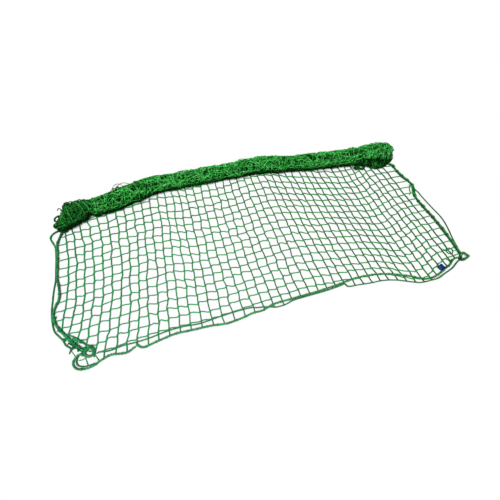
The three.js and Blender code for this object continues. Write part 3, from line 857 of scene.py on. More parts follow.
@dataclass
class Netting:
    """The spread netting: where every knot lies, and the twine between the knots."""

    roll: Roll
    # Spread of the joints' stray and of the slack between them, and the size of the jog at them.
    stray: float = 2.4
    sag: float = 1.3
    weft_jog: float = 11.0
    warp_jog: float = 2.5
    # How far slack twine rises, and how far a jog reaches from its joint, as a share of a mesh.
    lift: float = 3.2
    joint: float = 0.11
    # How far the first mesh lies inside the ropes, and by how much each next one at least.
    inward: float = 1.0
    gather: float = 2.5
    # Samples in each mesh.
    steps: int = 8
    # Span in x of the left rope's end, of all the front's lines, and of the front rope. The left
    # rope bounds the netting up to its span's end, and the front rope alone from `right_x` on,
    # because the cord lies apart from it there.
    corner_span: tuple[float, float] = (-999, -863)
    front_span: tuple[float, float] = (-900, 1038)
    rope_span: tuple[float, float] = (-600, 1030)
    right_x: float = 850
    # Places that lead the left rope's line on to the front lines.
    corner_end: tuple[tuple[float, float], ...] = ((-870, -322), (-858, -322))
    # Rows from the front weft to the last stop of a fold.
    fold_rows: float = 16
    # How far the last row runs in under the roll, and how much less each row before it may.
    tucked: float = 6.0
    tucked_less: float = 0.5

    def __post_init__(self) -> None:
        """Samples the edges once and draws the seeded unevenness."""
        self.left, self.right, *self.fronts = (
            route.line(3.0)
            for route in (LEFT_ROPE, RIGHT_ROPE, FRONT_ROPE, FRONT_CORD, CORNER_ROPE)
        )
        self.corner = np.concatenate([self.left[:, :2], self.corner_end])
        rng = np.random.default_rng(7)
        knots = (MESHES_ACROSS + 3, ROWS_SHOWN + 4)
        self.strays = rng.normal(0, self.stray, (2, *knots))
        self.sags = rng.normal(0, self.sag, (4, *knots))
        self.jogs = np.stack([
            rng.normal(0, self.warp_jog, knots),
            self.weft_jog * (1 + 0.45 * rng.normal(0, 1, knots)),
        ])
        self.unevenly_lit = rng.normal(0, 0.07, (2, MESHES_ACROSS - 1))

    def side_edge(self, y: np.ndarray, right: bool) -> np.ndarray:
        """x of the left or right rope at each y, its ends' where y is past them.

        Args:
            y: places in the plan.
            right: whether the right rope is meant.

        Returns:
            x at each of them.
        """
        rope = self.right if right else self.left
        return crossing(rope, 1, np.clip(y, rope[-1, 1], rope[0, 1]), highest=right)

    def front_edge(self, x: np.ndarray) -> np.ndarray:
        """y of the outermost line along the front, or of the left rope left of the corner.

        Args:
            x: places in the plan.

        Returns:
            y at each of them.
        """
        held = np.clip(x, *self.front_span)
        front = np.min([crossing(line, 0, held) for line in self.fronts], axis=0)
        rope = crossing(self.fronts[0], 0, np.clip(x, *self.rope_span))
        corner = crossing(self.corner, 0, np.clip(x, *self.corner_span))
        bounded = np.where(x > self.right_x, rope, front)
        return np.where(x < self.corner_span[1], corner, bounded)

    def fold(self, mesh: np.ndarray, row: np.ndarray) -> np.ndarray:
        """Place in the plan by the folds alone: a parabola in the row, eased across the meshes.

        Args:
            mesh: meshes from the left edge.
            row: rows behind the front weft.

        Returns:
            (..., 2) places.
        """
        t = (np.asarray(row, float) / self.fold_rows)[..., None]
        front, middle, back = np.split(eased(FOLDS[:, 0], FOLDS[:, 1:], mesh), 3, axis=-1)
        return front * (1 - 2 * t) * (1 - t) + middle * 4 * t * (1 - t) + back * t * (2 * t - 1)

    def at(self, mesh: np.ndarray, row: np.ndarray, along_warp: bool) -> np.ndarray:
        """Middle of the twine at a place of the lattice.

        Every joint strays a little. A twine runs along the other one for a short way at each
        joint, so it comes out of it to one side and eases back before the next: the jog is
        (0.5 - part) (1 - exp(-(near / joint)^2)), where part is the share of a mesh that is
        passed and near the distance to the nearest joint. Between joints it is slack. At the
        edges it is held at the rope's middle.

        Args:
            mesh: meshes from the left edge.
            row: rows behind the front weft.
            along_warp: whether the twine runs along a warp line or a weft line.

        Returns:
            (..., 3) places.
        """
        mesh, row = np.broadcast_arrays(np.asarray(mesh, float), np.asarray(row, float))
        calm = 1.5
        quiet = np.clip(np.minimum(mesh, MESHES_ACROSS - mesh) / calm, 0, 1)
        quiet = quiet * np.clip((row + 1) / calm, 0, 1)
        pick, run = (0, row) if along_warp else (1, mesh)
        part = run - np.floor(run)
        cell = (np.floor(mesh + 1e-6).astype(int) + 1, np.floor(row + 1e-6).astype(int) + 2)
        knot_cell = (np.round(mesh).astype(int) + 1, np.round(row).astype(int) + 2)
        jog = (0.5 - part) * (1 - bell(np.minimum(part, 1 - part), self.joint))
        jog = jog * self.jogs[pick][knot_cell] / MESH * quiet
        point = self.fold(mesh + jog, row) if along_warp else self.fold(mesh, row + jog)
        for axis in (0, 1):
            point[..., axis] += patchy(self.strays[axis], mesh + 1, row + 2) * quiet
        between = np.sin(math.pi * part)
        point[..., pick] += self.sags[pick][cell] * quiet * between
        rise = np.abs(self.sags[pick + 2][cell]) / self.sag * self.lift
        height = 1.08 * self.radius(run) + 0.5 * rise * between**2

        left, right = (self.side_edge(point[..., 1], right=way) for way in (False, True))
        left = left + self.inward + mesh * self.gather
        right = right - self.inward - (MESHES_ACROSS - mesh) * self.gather
        x = np.clip(point[..., 0], left, right)
        at_left, at_right = np.clip(1 - mesh, 0, 1), np.clip(1 - (MESHES_ACROSS - mesh), 0, 1)
        x = x * (1 - at_left) + left * at_left
        x = x * (1 - at_right) + right * at_right
        tucked = self.tucked - self.tucked_less * (ROWS_SHOWN - row)
        y = np.minimum(point[..., 1], self.roll.foot(x) + tucked)
        front = self.front_edge(x)
        y = np.maximum(y, front + (row + 1) * self.gather)
        at_front = np.clip(-row, 0, 1)
        y = y * (1 - at_front) + front * at_front
        held = np.maximum(np.maximum(at_left, at_right), at_front) ** 3
        height = height * (1 - held) + (NET + ROPE_RADIUS) * held
        return np.stack([x, y, height], axis=-1)

    def radius(self, run: np.ndarray) -> np.ndarray:
        """Radius of the twine, thicker at a joint: R (1 + 0.3 exp(-(d / 4.5)^2)), d in mm."""
        return TWINE_RADIUS * (1 + 0.3 * bell(np.abs(run - np.round(run)) * MESH, 4.5))

    def surface(self) -> Surface:
        """Warp and weft twines, as tubes.

        The twine's lay is looser, and so fuller, to the right. The wefts lie across the light
        and catch it. The warps run along it, most of all at the right, and so look darker.

        Returns:
            All twines as one surface.
        """
        warps, wefts = np.arange(1, MESHES_ACROSS)[:, None], np.arange(ROWS_SHOWN)[:, None]
        along = np.linspace(-1, ROWS_SHOWN + 0.5, int((ROWS_SHOWN + 1.5) * self.steps) + 1)
        across = np.linspace(0, MESHES_ACROSS, MESHES_ACROSS * self.steps + 1)
        leftmost, span, fuller = -950, 1300, 0.08
        parts = []
        for way, (mesh, row, run) in enumerate(((warps, along, along), (across, wefts, across))):
            middle = self.at(mesh, row, along_warp=way == 0)
            rightward = np.clip((middle[..., 0] - leftmost) / span, 0, 1)
            tone = (0.9 - 0.45 * rightward, 1.0)[way] + self.unevenly_lit[way][: len(middle), None]
            radius = self.radius(run) * (1 + fuller * rightward)
            parts.append(tubes(middle, radius, tone=tone))
        return joined(parts)


@dataclass
class Looseness:
    """How unevenly one turn of netting lies: patchy shifts along, round and off the roll."""

    seed: int
    # x of the first patch, and how far the twine wanders along and round, and stands off.
    start: float
    wander: float
    stand: float = 2.4
    # A coarse and a fine patch: its length, rows of them along the roll, and how many go round.
    patches: tuple[tuple[float, int, int], ...] = ((56.0, 57, 12), (14.5, 173, 41))
    # How much the fine ones count in each of the three shifts.
    fine_shares: tuple[float, float, float] = (0.45, 0.45, 0.8)

    def __post_init__(self) -> None:
        """Draws the seeded patches."""
        self.rng = np.random.default_rng(self.seed)
        self.grids = [self.rng.normal(0, 1, (3, *size)) for _, *size in self.patches]

    def shifts(self, along: np.ndarray, turn: np.ndarray) -> np.ndarray:
        """Shifts along the roll, round it and off it: amount (coarse patch + share fine patch).

        Args:
            along: place along the roll.
            turn: turn round it, in radians.

        Returns:
            (3, ...) lengths.
        """
        coarse_at, fine_at = (
            ((along - self.start) / length, turn / TURN * count)
            for length, _, count in self.patches
        )
        amounts = (self.wander, self.wander, self.stand)
        return np.stack([
            amount * (patchy(coarse, *coarse_at) + share * patchy(fine, *fine_at))
            for amount, share, coarse, fine in zip(amounts, self.fine_shares, *self.grids)
        ])


@dataclass
class WoundNetting:
    """The roll's netting: layers of the same mesh laid round it, loose and uneven."""

    roll: Roll
    seed: int = 11
    hoops: int = 46
    # Radius that the mesh is counted round, and radius of its twine.
    girth_radius: float = 46.0
    twine: float = 1.75
    # Depth under the skin at which twine has lost about two thirds of its light.
    fade: float = 4.5
    # How far the layers lie in from the roll's two ends.
    ends: tuple[float, float] = (10, 6)
    # Samples round a hoop: shares of them, and the turns that they reach. They are closest at the
    # front, where the roll has its crease.
    hoop_samples: tuple[tuple[float, ...], ...] = ((0, 0.13, 0.5, 1), (-0.28, -0.09, 0.09, 0.76))

    def layer(self, number: int, depth: float, wander: float, step: float) -> Surface:
        """One turn of netting round the roll.

        Hoops keep their mesh along the roll and wefts their mesh round it. Both wander by the
        same patches, so they stay knotted to each other. A hoop leans by (9 r + 16 sin(x / 130 +
        number)) sin(turn), r being random, and a weft's turn sways by 0.35 sin(x / 170 + number).
        Twine that lies deeper is darker, by exp(-(depth / fade)^2).

        Args:
            number: count of the layer, which picks its random numbers.
            depth: how far its twine lies under the roll's skin.
            wander: how far the twine strays from an even mesh.
            step: length between two samples.

        Returns:
            The layer as one surface.
        """
        first, last = ROLL[0, 0] + self.ends[0], ROLL[-1, 0] - self.ends[1]
        loose = Looseness(self.seed + 31 * number, first, wander)
        rng = loose.rng
        base = first + (np.arange(self.hoops) + rng.random()) / self.hoops * (last - first)
        base = base + rng.normal(0, 9, self.hoops)
        lean = rng.normal(0, 9) + 16 * np.sin(base / 130 + number)
        hoop_length = 350
        samples = int(hoop_length / step)
        turn = np.interp(np.linspace(0, 1, samples), *self.hoop_samples) * TURN
        hoop_x = base[:, None] + lean[:, None] * np.sin(turn)

        rows = round(TURN * self.girth_radius / MESH)
        wefts = (np.arange(rows) + rng.random()) / rows * TURN
        underneath = -0.88
        wefts = wefts[np.sin(wefts) > underneath]
        along = np.linspace(first, last, int((last - first) / step))
        weft_turn = wefts[:, None] + 0.35 * np.sin(along / 170 + number)

        overhang = 8
        parts = []
        for x, turned in ((hoop_x, turn), (along, weft_turn)):
            x, turned = np.broadcast_arrays(x, turned)
            shift = loose.shifts(x, turned)
            x = np.clip(x + shift[0], first - overhang, last + overhang)
            turned = turned + shift[1] / self.girth_radius
            paths = self.roll.skin(x, turned, shift[2] - depth)
            sunk = np.maximum(depth - shift[2], 0)
            tone = bell(sunk, self.fade) * self.roll.light(x, turned)
            sides = 6 if number == 0 else 4
            parts.append(tubes(paths, self.twine, sides, self.roll.outward(paths), tone=tone))
        return joined(parts)

    def heart(self) -> Surface:
        """Wound mass under the turns that show, with uneven skin, painted in full shade.

        Its rings lie closer at its two ends: x goes by t - 0.4 sin(2 pi t) / 2 pi.

        Returns:
            The mass, closed.
        """
        rings, sides, depth = 330, 48, 11.5
        # Lumps: their height, their length, how many go round, and rows of them along.
        lumps, length, count, rows = 1.6, 9, 37, 331
        grid = np.random.default_rng(self.seed).normal(0, 1, (rows, count))
        t = np.linspace(0, 1, rings)
        first, last = ROLL[0, 0] + 12, ROLL[-1, 0] - 9
        x = (first + (last - first) * (t - 0.4 * np.sin(TURN * t) / TURN))[:, None]
        angle = np.arange(sides) / sides * TURN
        bumps = patchy(grid, x / length, angle / TURN * count)
        # Tone 0: the whole mass is painted in the twine's shade green, as painted shade.
        return shell(self.roll.skin(x, angle, lumps * bumps - depth)[:, ::-1], 0.0)


# Twines that are laid one by one.


# Turns of twine round the roll's left end: x, how far the turn leans along the roll, degrees
# round the roll where it leans most, height over the skin, radius.
WINDINGS = (
    (-800, 26, 20, 5.0, 2.5), (-812, 32, 22, 4.0, 2.3), (-820, 36, 25, 3.0, 2.2),
    (-832, 34, 25, 5.5, 2.5), (-842, 30, 30, 3.0, 2.2), (-852, 24, 30, 4.0, 2.4),
    (-866, 10, 20, 3.0, 2.2), (-850, -26, 55, 5.5, 2.3), (-862, -24, 50, 3.0, 2.4),
    (-876, -20, 45, 4.0, 2.6), (-888, -14, 42, 3.0, 2.2), (-902, -10, 40, 5.0, 2.4),
    (-914, -8, 40, 3.0, 2.3),
)

# Loose loops at the roll's left end and over its top, and a tangle at its front right.
ROLL_TWINES = (
    Twine(2.2, ((-880, 394, 62), (-893, 398, 66), (-905, 395, 66), (-904, 403, 72),
                (-914, 409, 73), (-921, 402, 67))),
    Twine(2.7, ((-846, 392, 88), (-858, 410, 91), (-869, 424, 90), (-880, 420, 84),
                (-884, 396, 76)), 4, 2.4),
    Twine(2.8, ((-902, 372, 50), (-922, 382, 49), (-941, 376, 46), (-943, 360, 42),
                (-918, 350, 40)), 5, 2.4),
    Twine(2.8, ((-908, 352, 34), (-936, 358, 30), (-954, 352, 24), (-952, 338, 19),
                (-920, 326, 20)), 5, 2.4),
    Twine(2.6, ((-900, 336, 26), (-926, 334, 20), (-936, 320, 12), (-926, 308, 10),
                (-900, 310, 14)), 3, 2.4),
    Twine(2.5, ((-905, 360, 66), (-922, 358, 56), (-932, 346, 42), (-922, 330, 32),
                (-900, 320, 36)), 2),
    Twine(2.4, ((-912, 318, 50), (-924, 314, 38), (-920, 305, 22), (-900, 312, 12))),
    Twine(1.5, ((-666, 440, 80), (-647, 453, 90), (-634, 473, 92), (-614, 480, 90),
                (-594, 465, 88), (-583, 448, 80))),
    Twine(1.5, ((-650, 440, 84), (-640, 447, 95), (-617, 450, 100), (-591, 446, 99),
                (-572, 450, 96), (-554, 436, 84))),
    Twine(1.5, ((-632, 434, 84), (-611, 473, 90), (-587, 480, 90), (-561, 469, 88),
                (-546, 440, 84))),
    Twine(1.9, ((-706, 402, 90), (-704, 420, 98), (-702, 412, 90))),
    Twine(1.9, ((-670, 420, 88), (-665, 434, 97), (-661, 420, 88))),
    Twine(1.9, ((-640, 430, 84), (-643, 449, 97), (-630, 447, 99), (-618, 462, 96),
                (-612, 440, 84))),
    Twine(3.0, ((748, 340, 22), (758, 327, 13), (776, 337, 12), (784, 352, 16), (802, 344, 13),
                (818, 327, 11), (806, 317, 9), (790, 325, 9)), 3, 4.0),
    Twine(2.8, ((780, 362, 20), (788, 320, 10), (812, 330, 12), (826, 344, 16), (836, 362, 20)), 2,
          4.0),
)

# Drawn-up and knotted twine at the left corner. Tones below 1 are painted shade.
LEFT_CORNER_TWINES = (
    Twine(2.8, ((-977, -232, 7), (-957, -240, 10), (-944, -252, 13), (-914, -257, 11),
                (-900, -271, 13), (-885, -288, 11), (-866, -299, 10), (-853, -318, 8)), tone=0.55),
    Twine(2.2, ((-966, -233, 9), (-949, -247, 15), (-933, -247, 17), (-919, -249, 15),
                (-914, -258, 13), (-905, -269, 10))),
    Twine(2.4, ((-985, -181, 9), (-974, -205, 9), (-962, -222, 10), (-948, -223, 11))),
    Twine(1.9, ((-969, -233, 4), (-971, -242, 3), (-970, -251, 3), (-962, -268, 3),
                (-951, -280, 4), (-940, -290, 5))),
    Twine(1.9, ((-962, -268, 4), (-956, -261, 8), (-944, -254, 10)), tone=0.5),
    Twine(1.9, ((-957, -305, 3), (-951, -298, 4), (-944, -291, 6), (-930, -289, 8)), tone=0.4),
    Twine(1.5, ((-946, -297, 3), (-940, -311, 2.5), (-934, -324, 3))),
    Twine(2.0, ((-923, -344, 5), (-909, -346, 6), (-897, -343, 8), (-884, -338, 10))),
    Twine(2.6, ((-893, -314, 10), (-916, -321, 9), (-928, -336, 8), (-932, -353, 8),
                (-926, -366, 8), (-908, -376, 9), (-884, -378, 9), (-862, -376, 9)), tone=0.45),
    Twine(2.4, ((-940, -262, 10), (-931, -276, 14), (-918, -281, 13), (-905, -296, 12),
                (-890, -300, 12), (-876, -312, 12)), tone=0.35),
    Twine(2.4, ((-950, -258, 8), (-940, -272, 10), (-928, -287, 10), (-914, -300, 9),
                (-902, -318, 9)), 2, 2.0, 0.25),
    Twine(2.0, ((-932, -242, 12), (-926, -262, 13), (-934, -280, 12), (-925, -292, 10))),
    Twine(2.0, ((-957, -226, 11), (-950, -238, 14), (-953, -252, 11), (-943, -262, 9))),
    Twine(1.8, ((-897, -336, 3), (-893, -356, 4), (-889, -380, 8))),
    Twine(1.8, ((-859, -338, 6), (-852, -352, 4), (-845, -370, 8))),
    Twine(2.6, ((-915, 335, 6), (-948, 326, 6), (-969, 316, 6), (-984, 297, 5), (-979, 270, 5),
                (-968, 242, 7), (-963, 220, 9))),
    Twine(2.6, ((-700, -361, 8), (-690, -356, 8), (-680, -350, 8))),
)

# Loose twine along the right edge.
RIGHT_EDGE_TWINES = (
    Twine(2.0, ((958, -371, 4), (969, -386, 5), (969, -401, 7), (956, -415, 9))),
    Twine(1.9, ((990, 66, 4), (1006, 76, 5), (1013, 98, 5), (1028, 124, 6), (1036, 138, 9))),
    Twine(1.9, ((1014, 58, 9), (1024, 84, 6), (1036, 108, 6), (1041, 128, 9))),
    Twine(1.8, ((1027, -336, 4), (1041, -341, 6), (1052, -350, 9))),
    Twine(1.8, ((994, -328, 3), (984, -318, 3), (975, -312, 3))),
)

# The right corner's eye: x, y and height of the middle of its rope.
RIGHT_EYE = (
    (1042, -388, 9), (1052, -374, 9), (1068, -366, 10), (1081, -367, 10), (1088, -378, 10),
    (1098, -395, 9), (1086, -401, 9), (1066, -407, 10), (1050, -410, 11), (1042, -400, 13),
    (1050, -384, 15), (1066, -375, 15), (1077, -374, 15), (1083, -386, 15), (1090, -396, 14),
    (1074, -400, 14), (1056, -403, 12), (1046, -396, 10),
)

# Overhand knots: x, y, z, size, twine radius, degrees, tone.
KNOTS = (
    (-960, -224, 9, 2.6, 2.2, 20, 0.9), (-969, -240, 8, 2.4, 2.2, 75, 0.7),
    (-905, -269, 11, 2.4, 2.2, 50, 0.6), (-868, -303, 11, 2.6, 2.3, 10, 0.5),
    (-943, -256, 11, 2.2, 2.0, 100, 0.6), (-932, -282, 11, 3.0, 2.4, 40, 0.3),
    (-985, -190, 11, 2.6, 2.2, 60, 0.7), (-1000, -130, 11, 2.6, 2.2, 10, 0.7),
    (-915, -300, 12, 2.8, 2.4, 80, 0.25),
    (1041, -396, 9, 3.6, 3.0, 15, 0.12), (1047, -404, 9, 2.4, 2.6, 60, 0.12),
)


# Finishes.


def linear(colour: str) -> tuple[float, float, float, float]:
    """sRGB hex to linear: c / 12.92 below 0.04045, else ((c + 0.055) / 1.055) ** 2.4.

    Args:
        colour: six hex digits.

    Returns:
        Linear red, green, blue and 1.
    """
    srgb = np.array([int(colour[i : i + 2], 16) / 255 for i in (0, 2, 4)])
    mixed = np.where(srgb <= 0.04045, srgb / 12.92, ((srgb + 0.055) / 1.055) ** 2.4)
    return (*mixed.tolist(), 1.0)


def add(
    tree: bpy.types.NodeTree,
    kind: str,
    output: str | int | None,
    inputs: dict[str | int, object],
    **settings: object,
) -> bpy.types.NodeSocket | None:
    """Adds a node with its settings, and sets or links its inputs.

    Args:
        tree: the material's tree.
        kind: the node's type name, without the start that all share.
        output: name or number of the output that is wanted, if one is.
        inputs: a value or a socket for each input, by the input's name or number.
        settings: attributes of the node.

    Returns:
        The wanted output.
    """
    node = tree.nodes.new(f"ShaderNode{kind}")
    for key, value in settings.items():
        setattr(node, key, value)
    for key, value in inputs.items():
        if isinstance(value, bpy.types.NodeSocket):
            tree.links.new(value, node.inputs[key])
        else:
            node.inputs[key].default_value = value
    return None if output is None else node.outputs[output]


class Fibre(Enum):
    """How a line's fibres run: the ways that its ridges slant.

    Twisted strands show slanting ridges, and a braid shows a lattice.
    """

    TWISTED = ("ADD",)
    BRAIDED = ("ADD", "SUBTRACT")


@dataclass(frozen=True)
class Finish:
    """A material, named for what the real one is and how it was made."""

    name: str

    def shader(self, tree: bpy.types.NodeTree) -> bpy.types.NodeSocket:
        """Adds the nodes that make its shader."""
        raise NotImplementedError

    def build(self) -> bpy.types.Material:
        """Makes the material.

        Returns:
            The material, its tree holding the shader's nodes alone.
        """
        material = bpy.data.materials.new(self.name)
        material.use_nodes = True
        tree = material.node_tree
        tree.nodes.clear()
        add(tree, "OutputMaterial", None, {"Surface": self.shader(tree)})
        return material


@dataclass(frozen=True)
class LineFinish(Finish):
    """Polypropylene line, spun from fibres and twisted or braided.

    The fibres give it a soft sheen along the lay, fine slanting ridges, and a green that varies
    along each strand. It is a little bluer towards the left front, as the netting is.
    """

    dark: str
    light: str
    cool: str
    # Green of twine that no light reaches.
    shade: str
    # Length along the line from ridge to ridge, and ridges round it.
    pitch: float
    ridges: float
    # How much bluer it gets, its gloss at right angles, and how high its ridges stand.
    cool_share: float = 0.6
    shine: float = 0.25
    relief: float = 0.5
    fibre: Fibre = Fibre.TWISTED
    # Size of its paler patches, how soft their edges are, and how much of its paler green is held
    # to twine with a high tone: a painted highlight.
    patch: float = 26.0
    contrast: float = 0.5
    painted_paling: float = 0.0
    roughness: float = 0.5
    # Spacing of single hairs. It is 0.1 mm or less, and is drawn wider so that it shows.
    hair: float = 1.1

    def shader(self, tree: bpy.types.NodeTree) -> bpy.types.NodeSocket:
        """Adds ridges, greens, shade and relief.

        Args:
            tree: the material's tree.

        Returns:
            The shader.
        """
        lay = add(tree, "UVMap", "UV", {}, uv_map="Lay")
        place = add(tree, "TexCoord", "Object", {})
        along = add(tree, "SeparateXYZ", "X", {"Vector": lay})
        around = along.node.outputs["Y"]

        # Ridges: a sine along the strand and round it. A braid is two that slant both ways.
        along, around = (
            add(tree, "Math", 0, {0: way, 1: pace}, operation="MULTIPLY")
            for way, pace in ((along, TURN / self.pitch), (around, TURN * self.ridges))
        )
        slants = [
            add(tree, "Math", 0, {0: along, 1: around}, operation=way) for way in self.fibre.value
        ]
        waves = [add(tree, "Math", 0, {0: slant}, operation="SINE") for slant in slants]
        first, second = (*waves, 1.0)[:2]
        ridge = add(tree, "Math", 0, {0: first, 1: second}, operation="MULTIPLY")

        # Green that varies along the strands, and turns bluer towards the left front. The paler
        # green
        # shows more on twine whose tone is high: a painted highlight where light falls.
        tone = add(tree, "Attribute", "Fac", {}, attribute_name="tone")
        painted_paling_share = add(
            tree, "Math", 0, {0: tone, 1: self.painted_paling, 2: 1 - self.painted_paling},
            operation="MULTIPLY_ADD",
        )
        patches, hairs = (
            add(tree, "TexNoise", "Fac", {"Vector": place, "Scale": 1 / (MM * size), "Detail": n})
            for size, n in ((self.patch, 2.0), (self.hair, 1.0))
        )
        paler = add(
            tree, "MapRange", "Result",
            {"Value": patches, "From Min": 0.5 - self.contrast, "From Max": 0.5 + self.contrast},
            clamp=True,
        )
        paler = add(tree, "Math", 0, {0: paler, 1: painted_paling_share}, operation="MULTIPLY")
        green = add(
            tree, "Mix", "Result",
            {"Factor": paler, "A": linear(self.dark), "B": linear(self.light)}, data_type="RGBA",
        )
        left_front = add(
            tree, "VectorMath", "Value", {0: place, 1: (-0.6, -0.9, 0.0)}, operation="DOT_PRODUCT"
        )
        bluer = add(
            tree, "MapRange", "Result",
            {"Value": left_front, "From Min": -0.25, "From Max": 0.75, "To Max": self.cool_share},
            clamp=True, interpolation_type="SMOOTHSTEP",
        )
        green = add(
            tree, "Mix", "Result", {"Factor": bluer, "A": green, "B": linear(self.cool)},
            data_type="RGBA",
        )

        # The grooves between ridges, and the twine that others cover, lie in the dark.
        grooves = add(
            tree, "MapRange", "Result",
            {"Value": ridge, "From Min": -1.0, "From Max": 0.2, "To Min": 0.72}, clamp=True,
        )
        reached = add(tree, "Math", 0, {0: tone, 1: grooves}, operation="MULTIPLY")
        colour = add(
            tree, "Mix", "Result", {"Factor": reached, "A": linear(self.shade), "B": green},
            data_type="RGBA",
        )

        # Relief: the ridges, and the hairs between them.
        height = add(tree, "Math", 0, {0: ridge, 1: 1.4, 2: hairs}, operation="MULTIPLY_ADD")
        bump = add(
            tree, "Bump", "Normal",
            {"Height": height, "Strength": self.relief, "Distance": 0.2 * MM},
        )
        return add(tree, "BsdfPrincipled", "BSDF", {
            "Base Color": colour, "Normal": bump, "Roughness": self.roughness, "IOR": 1.49,
            "Specular IOR Level": self.shine,
        })


@dataclass(frozen=True)
class LabelFinish(Finish):
    """Woven polyester label tape, plain blue: a fine rib and a satin shine."""

    name: str = "woven_polyester_label"
    colour: str = "0a3c82"
    dark: str = "021840"
    roughness: float = 0.42
    shine: float = 0.15
    # The tape's picks are 0.25 mm apart, and are drawn further apart so that they show.
    rib: float = 1.5

    def shader(self, tree: bpy.types.NodeTree) -> bpy.types.NodeSocket:
        """Adds the ribs. A wave texture has one band in 0.314 of its scaled length.

        Args:
            tree: the material's tree.

        Returns:
            The shader.
        """
        place = add(tree, "TexCoord", "Object", {})
        ribs = add(
            tree, "TexWave", "Fac",
            {"Vector": place, "Scale": 0.314 / (self.rib * MM), "Distortion": 0.4},
            wave_type="BANDS", bands_direction="DIAGONAL",
        )
        colour = add(
            tree, "Mix", "Result",
            {"Factor": ribs, "A": linear(self.dark), "B": linear(self.colour)}, data_type="RGBA",
        )
        bump = add(
            tree, "Bump", "Normal", {"Height": ribs, "Strength": 0.4, "Distance": 0.3 * MM}
        )
        return add(tree, "BsdfPrincipled", "BSDF", {
            "Base Color": colour, "Normal": bump, "Roughness": self.roughness,
            "Specular IOR Level": self.shine,
        })


@dataclass(frozen=True)
class FloorFinish(Finish):
    """Matt pale studio floor, painted and dead smooth, that the lights bring up to white."""

    name: str = "matt_pale_floor"
    colour: str = "d9d9d9"
    roughness: float = 0.9
    shine: float = 0.1

    def shader(self, tree: bpy.types.NodeTree) -> bpy.types.NodeSocket:
        """Adds the paint.

        Args:
            tree: the material's tree.

        Returns:
            The shader.
        """
        return add(tree, "BsdfPrincipled", "BSDF", {
            "Base Color": linear(self.colour), "Roughness": self.roughness,
            "Specular IOR Level": self.shine,
        })


NETTING_TWINE = LineFinish(
    "twisted_polypropylene_twine", "0e6426", "2eae4c", "2a9c66", "04200a", pitch=9.0, ridges=1.0,
    shine=0.12,
)
# Its paler green is painted mostly on twine out in the light: a painted highlight.
WOUND_TWINE = LineFinish(
    "wound_polypropylene_twine", "006e14", "66e870", "2a9a5c", "001803", pitch=9.0, ridges=1.0,
    cool_share=0.06, shine=0.02, patch=9.0, contrast=0.16, painted_paling=0.75,
)
ROPE = LineFinish(
    "laid_polypropylene_rope", "0a5620", "40aa50", "2a9860", "021c0a", pitch=4.5, ridges=9.0,
    cool_share=0.45, relief=0.4,
)
CORD = LineFinish(
    "braided_polypropylene_cord", "084a1c", "2c9040", "248258", "021a0a", pitch=6.0, ridges=6.0,
    cool_share=0.5, fibre=Fibre.BRAIDED,
)


# Sub-assemblies.


@dataclass
class DrawCords:
    """The thinner cord that runs beside the edge rope."""

    cords: tuple[tuple[str, Line], ...] = (
        ("draw_cord_left", Line(LEFT_CORD, laid=False, thickness=1.4, swelling=0.6, shaded=130.0)),
        ("draw_cord_front", Line(FRONT_CORD, laid=False, thickness=1.25, swelling=0.6)),
        ("draw_cord_right", Line(RIGHT_CORD, laid=False, thickness=1.25, swelling=0.6)),
    )
    gathered: Line = Line(GATHERED_EDGE, laid=False, thickness=1.0, swelling=0.6)

    def build(self, cord: bpy.types.Material, twine: bpy.types.Material) -> None:
        """Makes the cords and the drawn-up meshes at the left corner.

        Args:
            cord: finish of the cord.
            twine: finish of the netting.
        """
        for name, line in self.cords:
            install(f"{name}_braided", line.surface(), cord, "braided_cord", name)
        gathered = self.gathered.surface()
        install("gathered_meshes_left", gathered, twine, "netting", "gathered_edge_left")


@dataclass
class EdgeRopes:
    """Laid rope round the netting, with the twine that laces the netting to it."""

    ropes: tuple[tuple[str, Line], ...] = (
        ("edge_rope_left", Line(LEFT_ROPE, laid=True, thickness=1.2, swelling=0.3, shaded=130.0)),
        ("edge_rope_front", Line(FRONT_ROPE, laid=True, thickness=1.2, swelling=0.3)),
        ("edge_rope_corner", Line(CORNER_ROPE, laid=True, thickness=1.2, swelling=0.3)),
        ("edge_rope_right", Line(RIGHT_ROPE, laid=True, thickness=1.2, swelling=0.8)),
    )
    lacings: tuple[Lacing, ...] = (
        Lacing(RIGHT_ROPE, 16, turns=3.4, width=13.0, lift=1.4, radius=1.9, tone=0.55),
        Lacing(LEFT_ROPE, 14, turns=2.2, width=9.0, lift=0.4, radius=1.4, tone=0.5),
        Lacing(FRONT_ROPE, 37, turns=1.3, width=5.0, lift=0.7, radius=1.1),
        Lacing(CORNER_ROPE, 5, turns=1.3, width=5.0, lift=0.7, radius=1.1),
    )

    def build(self, rope: bpy.types.Material, twine: bpy.types.Material) -> None:
        """Makes the ropes and their lacing.

        Args:
            rope: finish of the rope.
            twine: finish of the lacing.
        """
        for name, line in self.ropes:
            install(f"{name}_laid", line.surface(), rope, "laid_rope", name)
        lacing = joined([one.surface() for one in self.lacings])
        install("edge_lacing", lacing, twine, "netting")


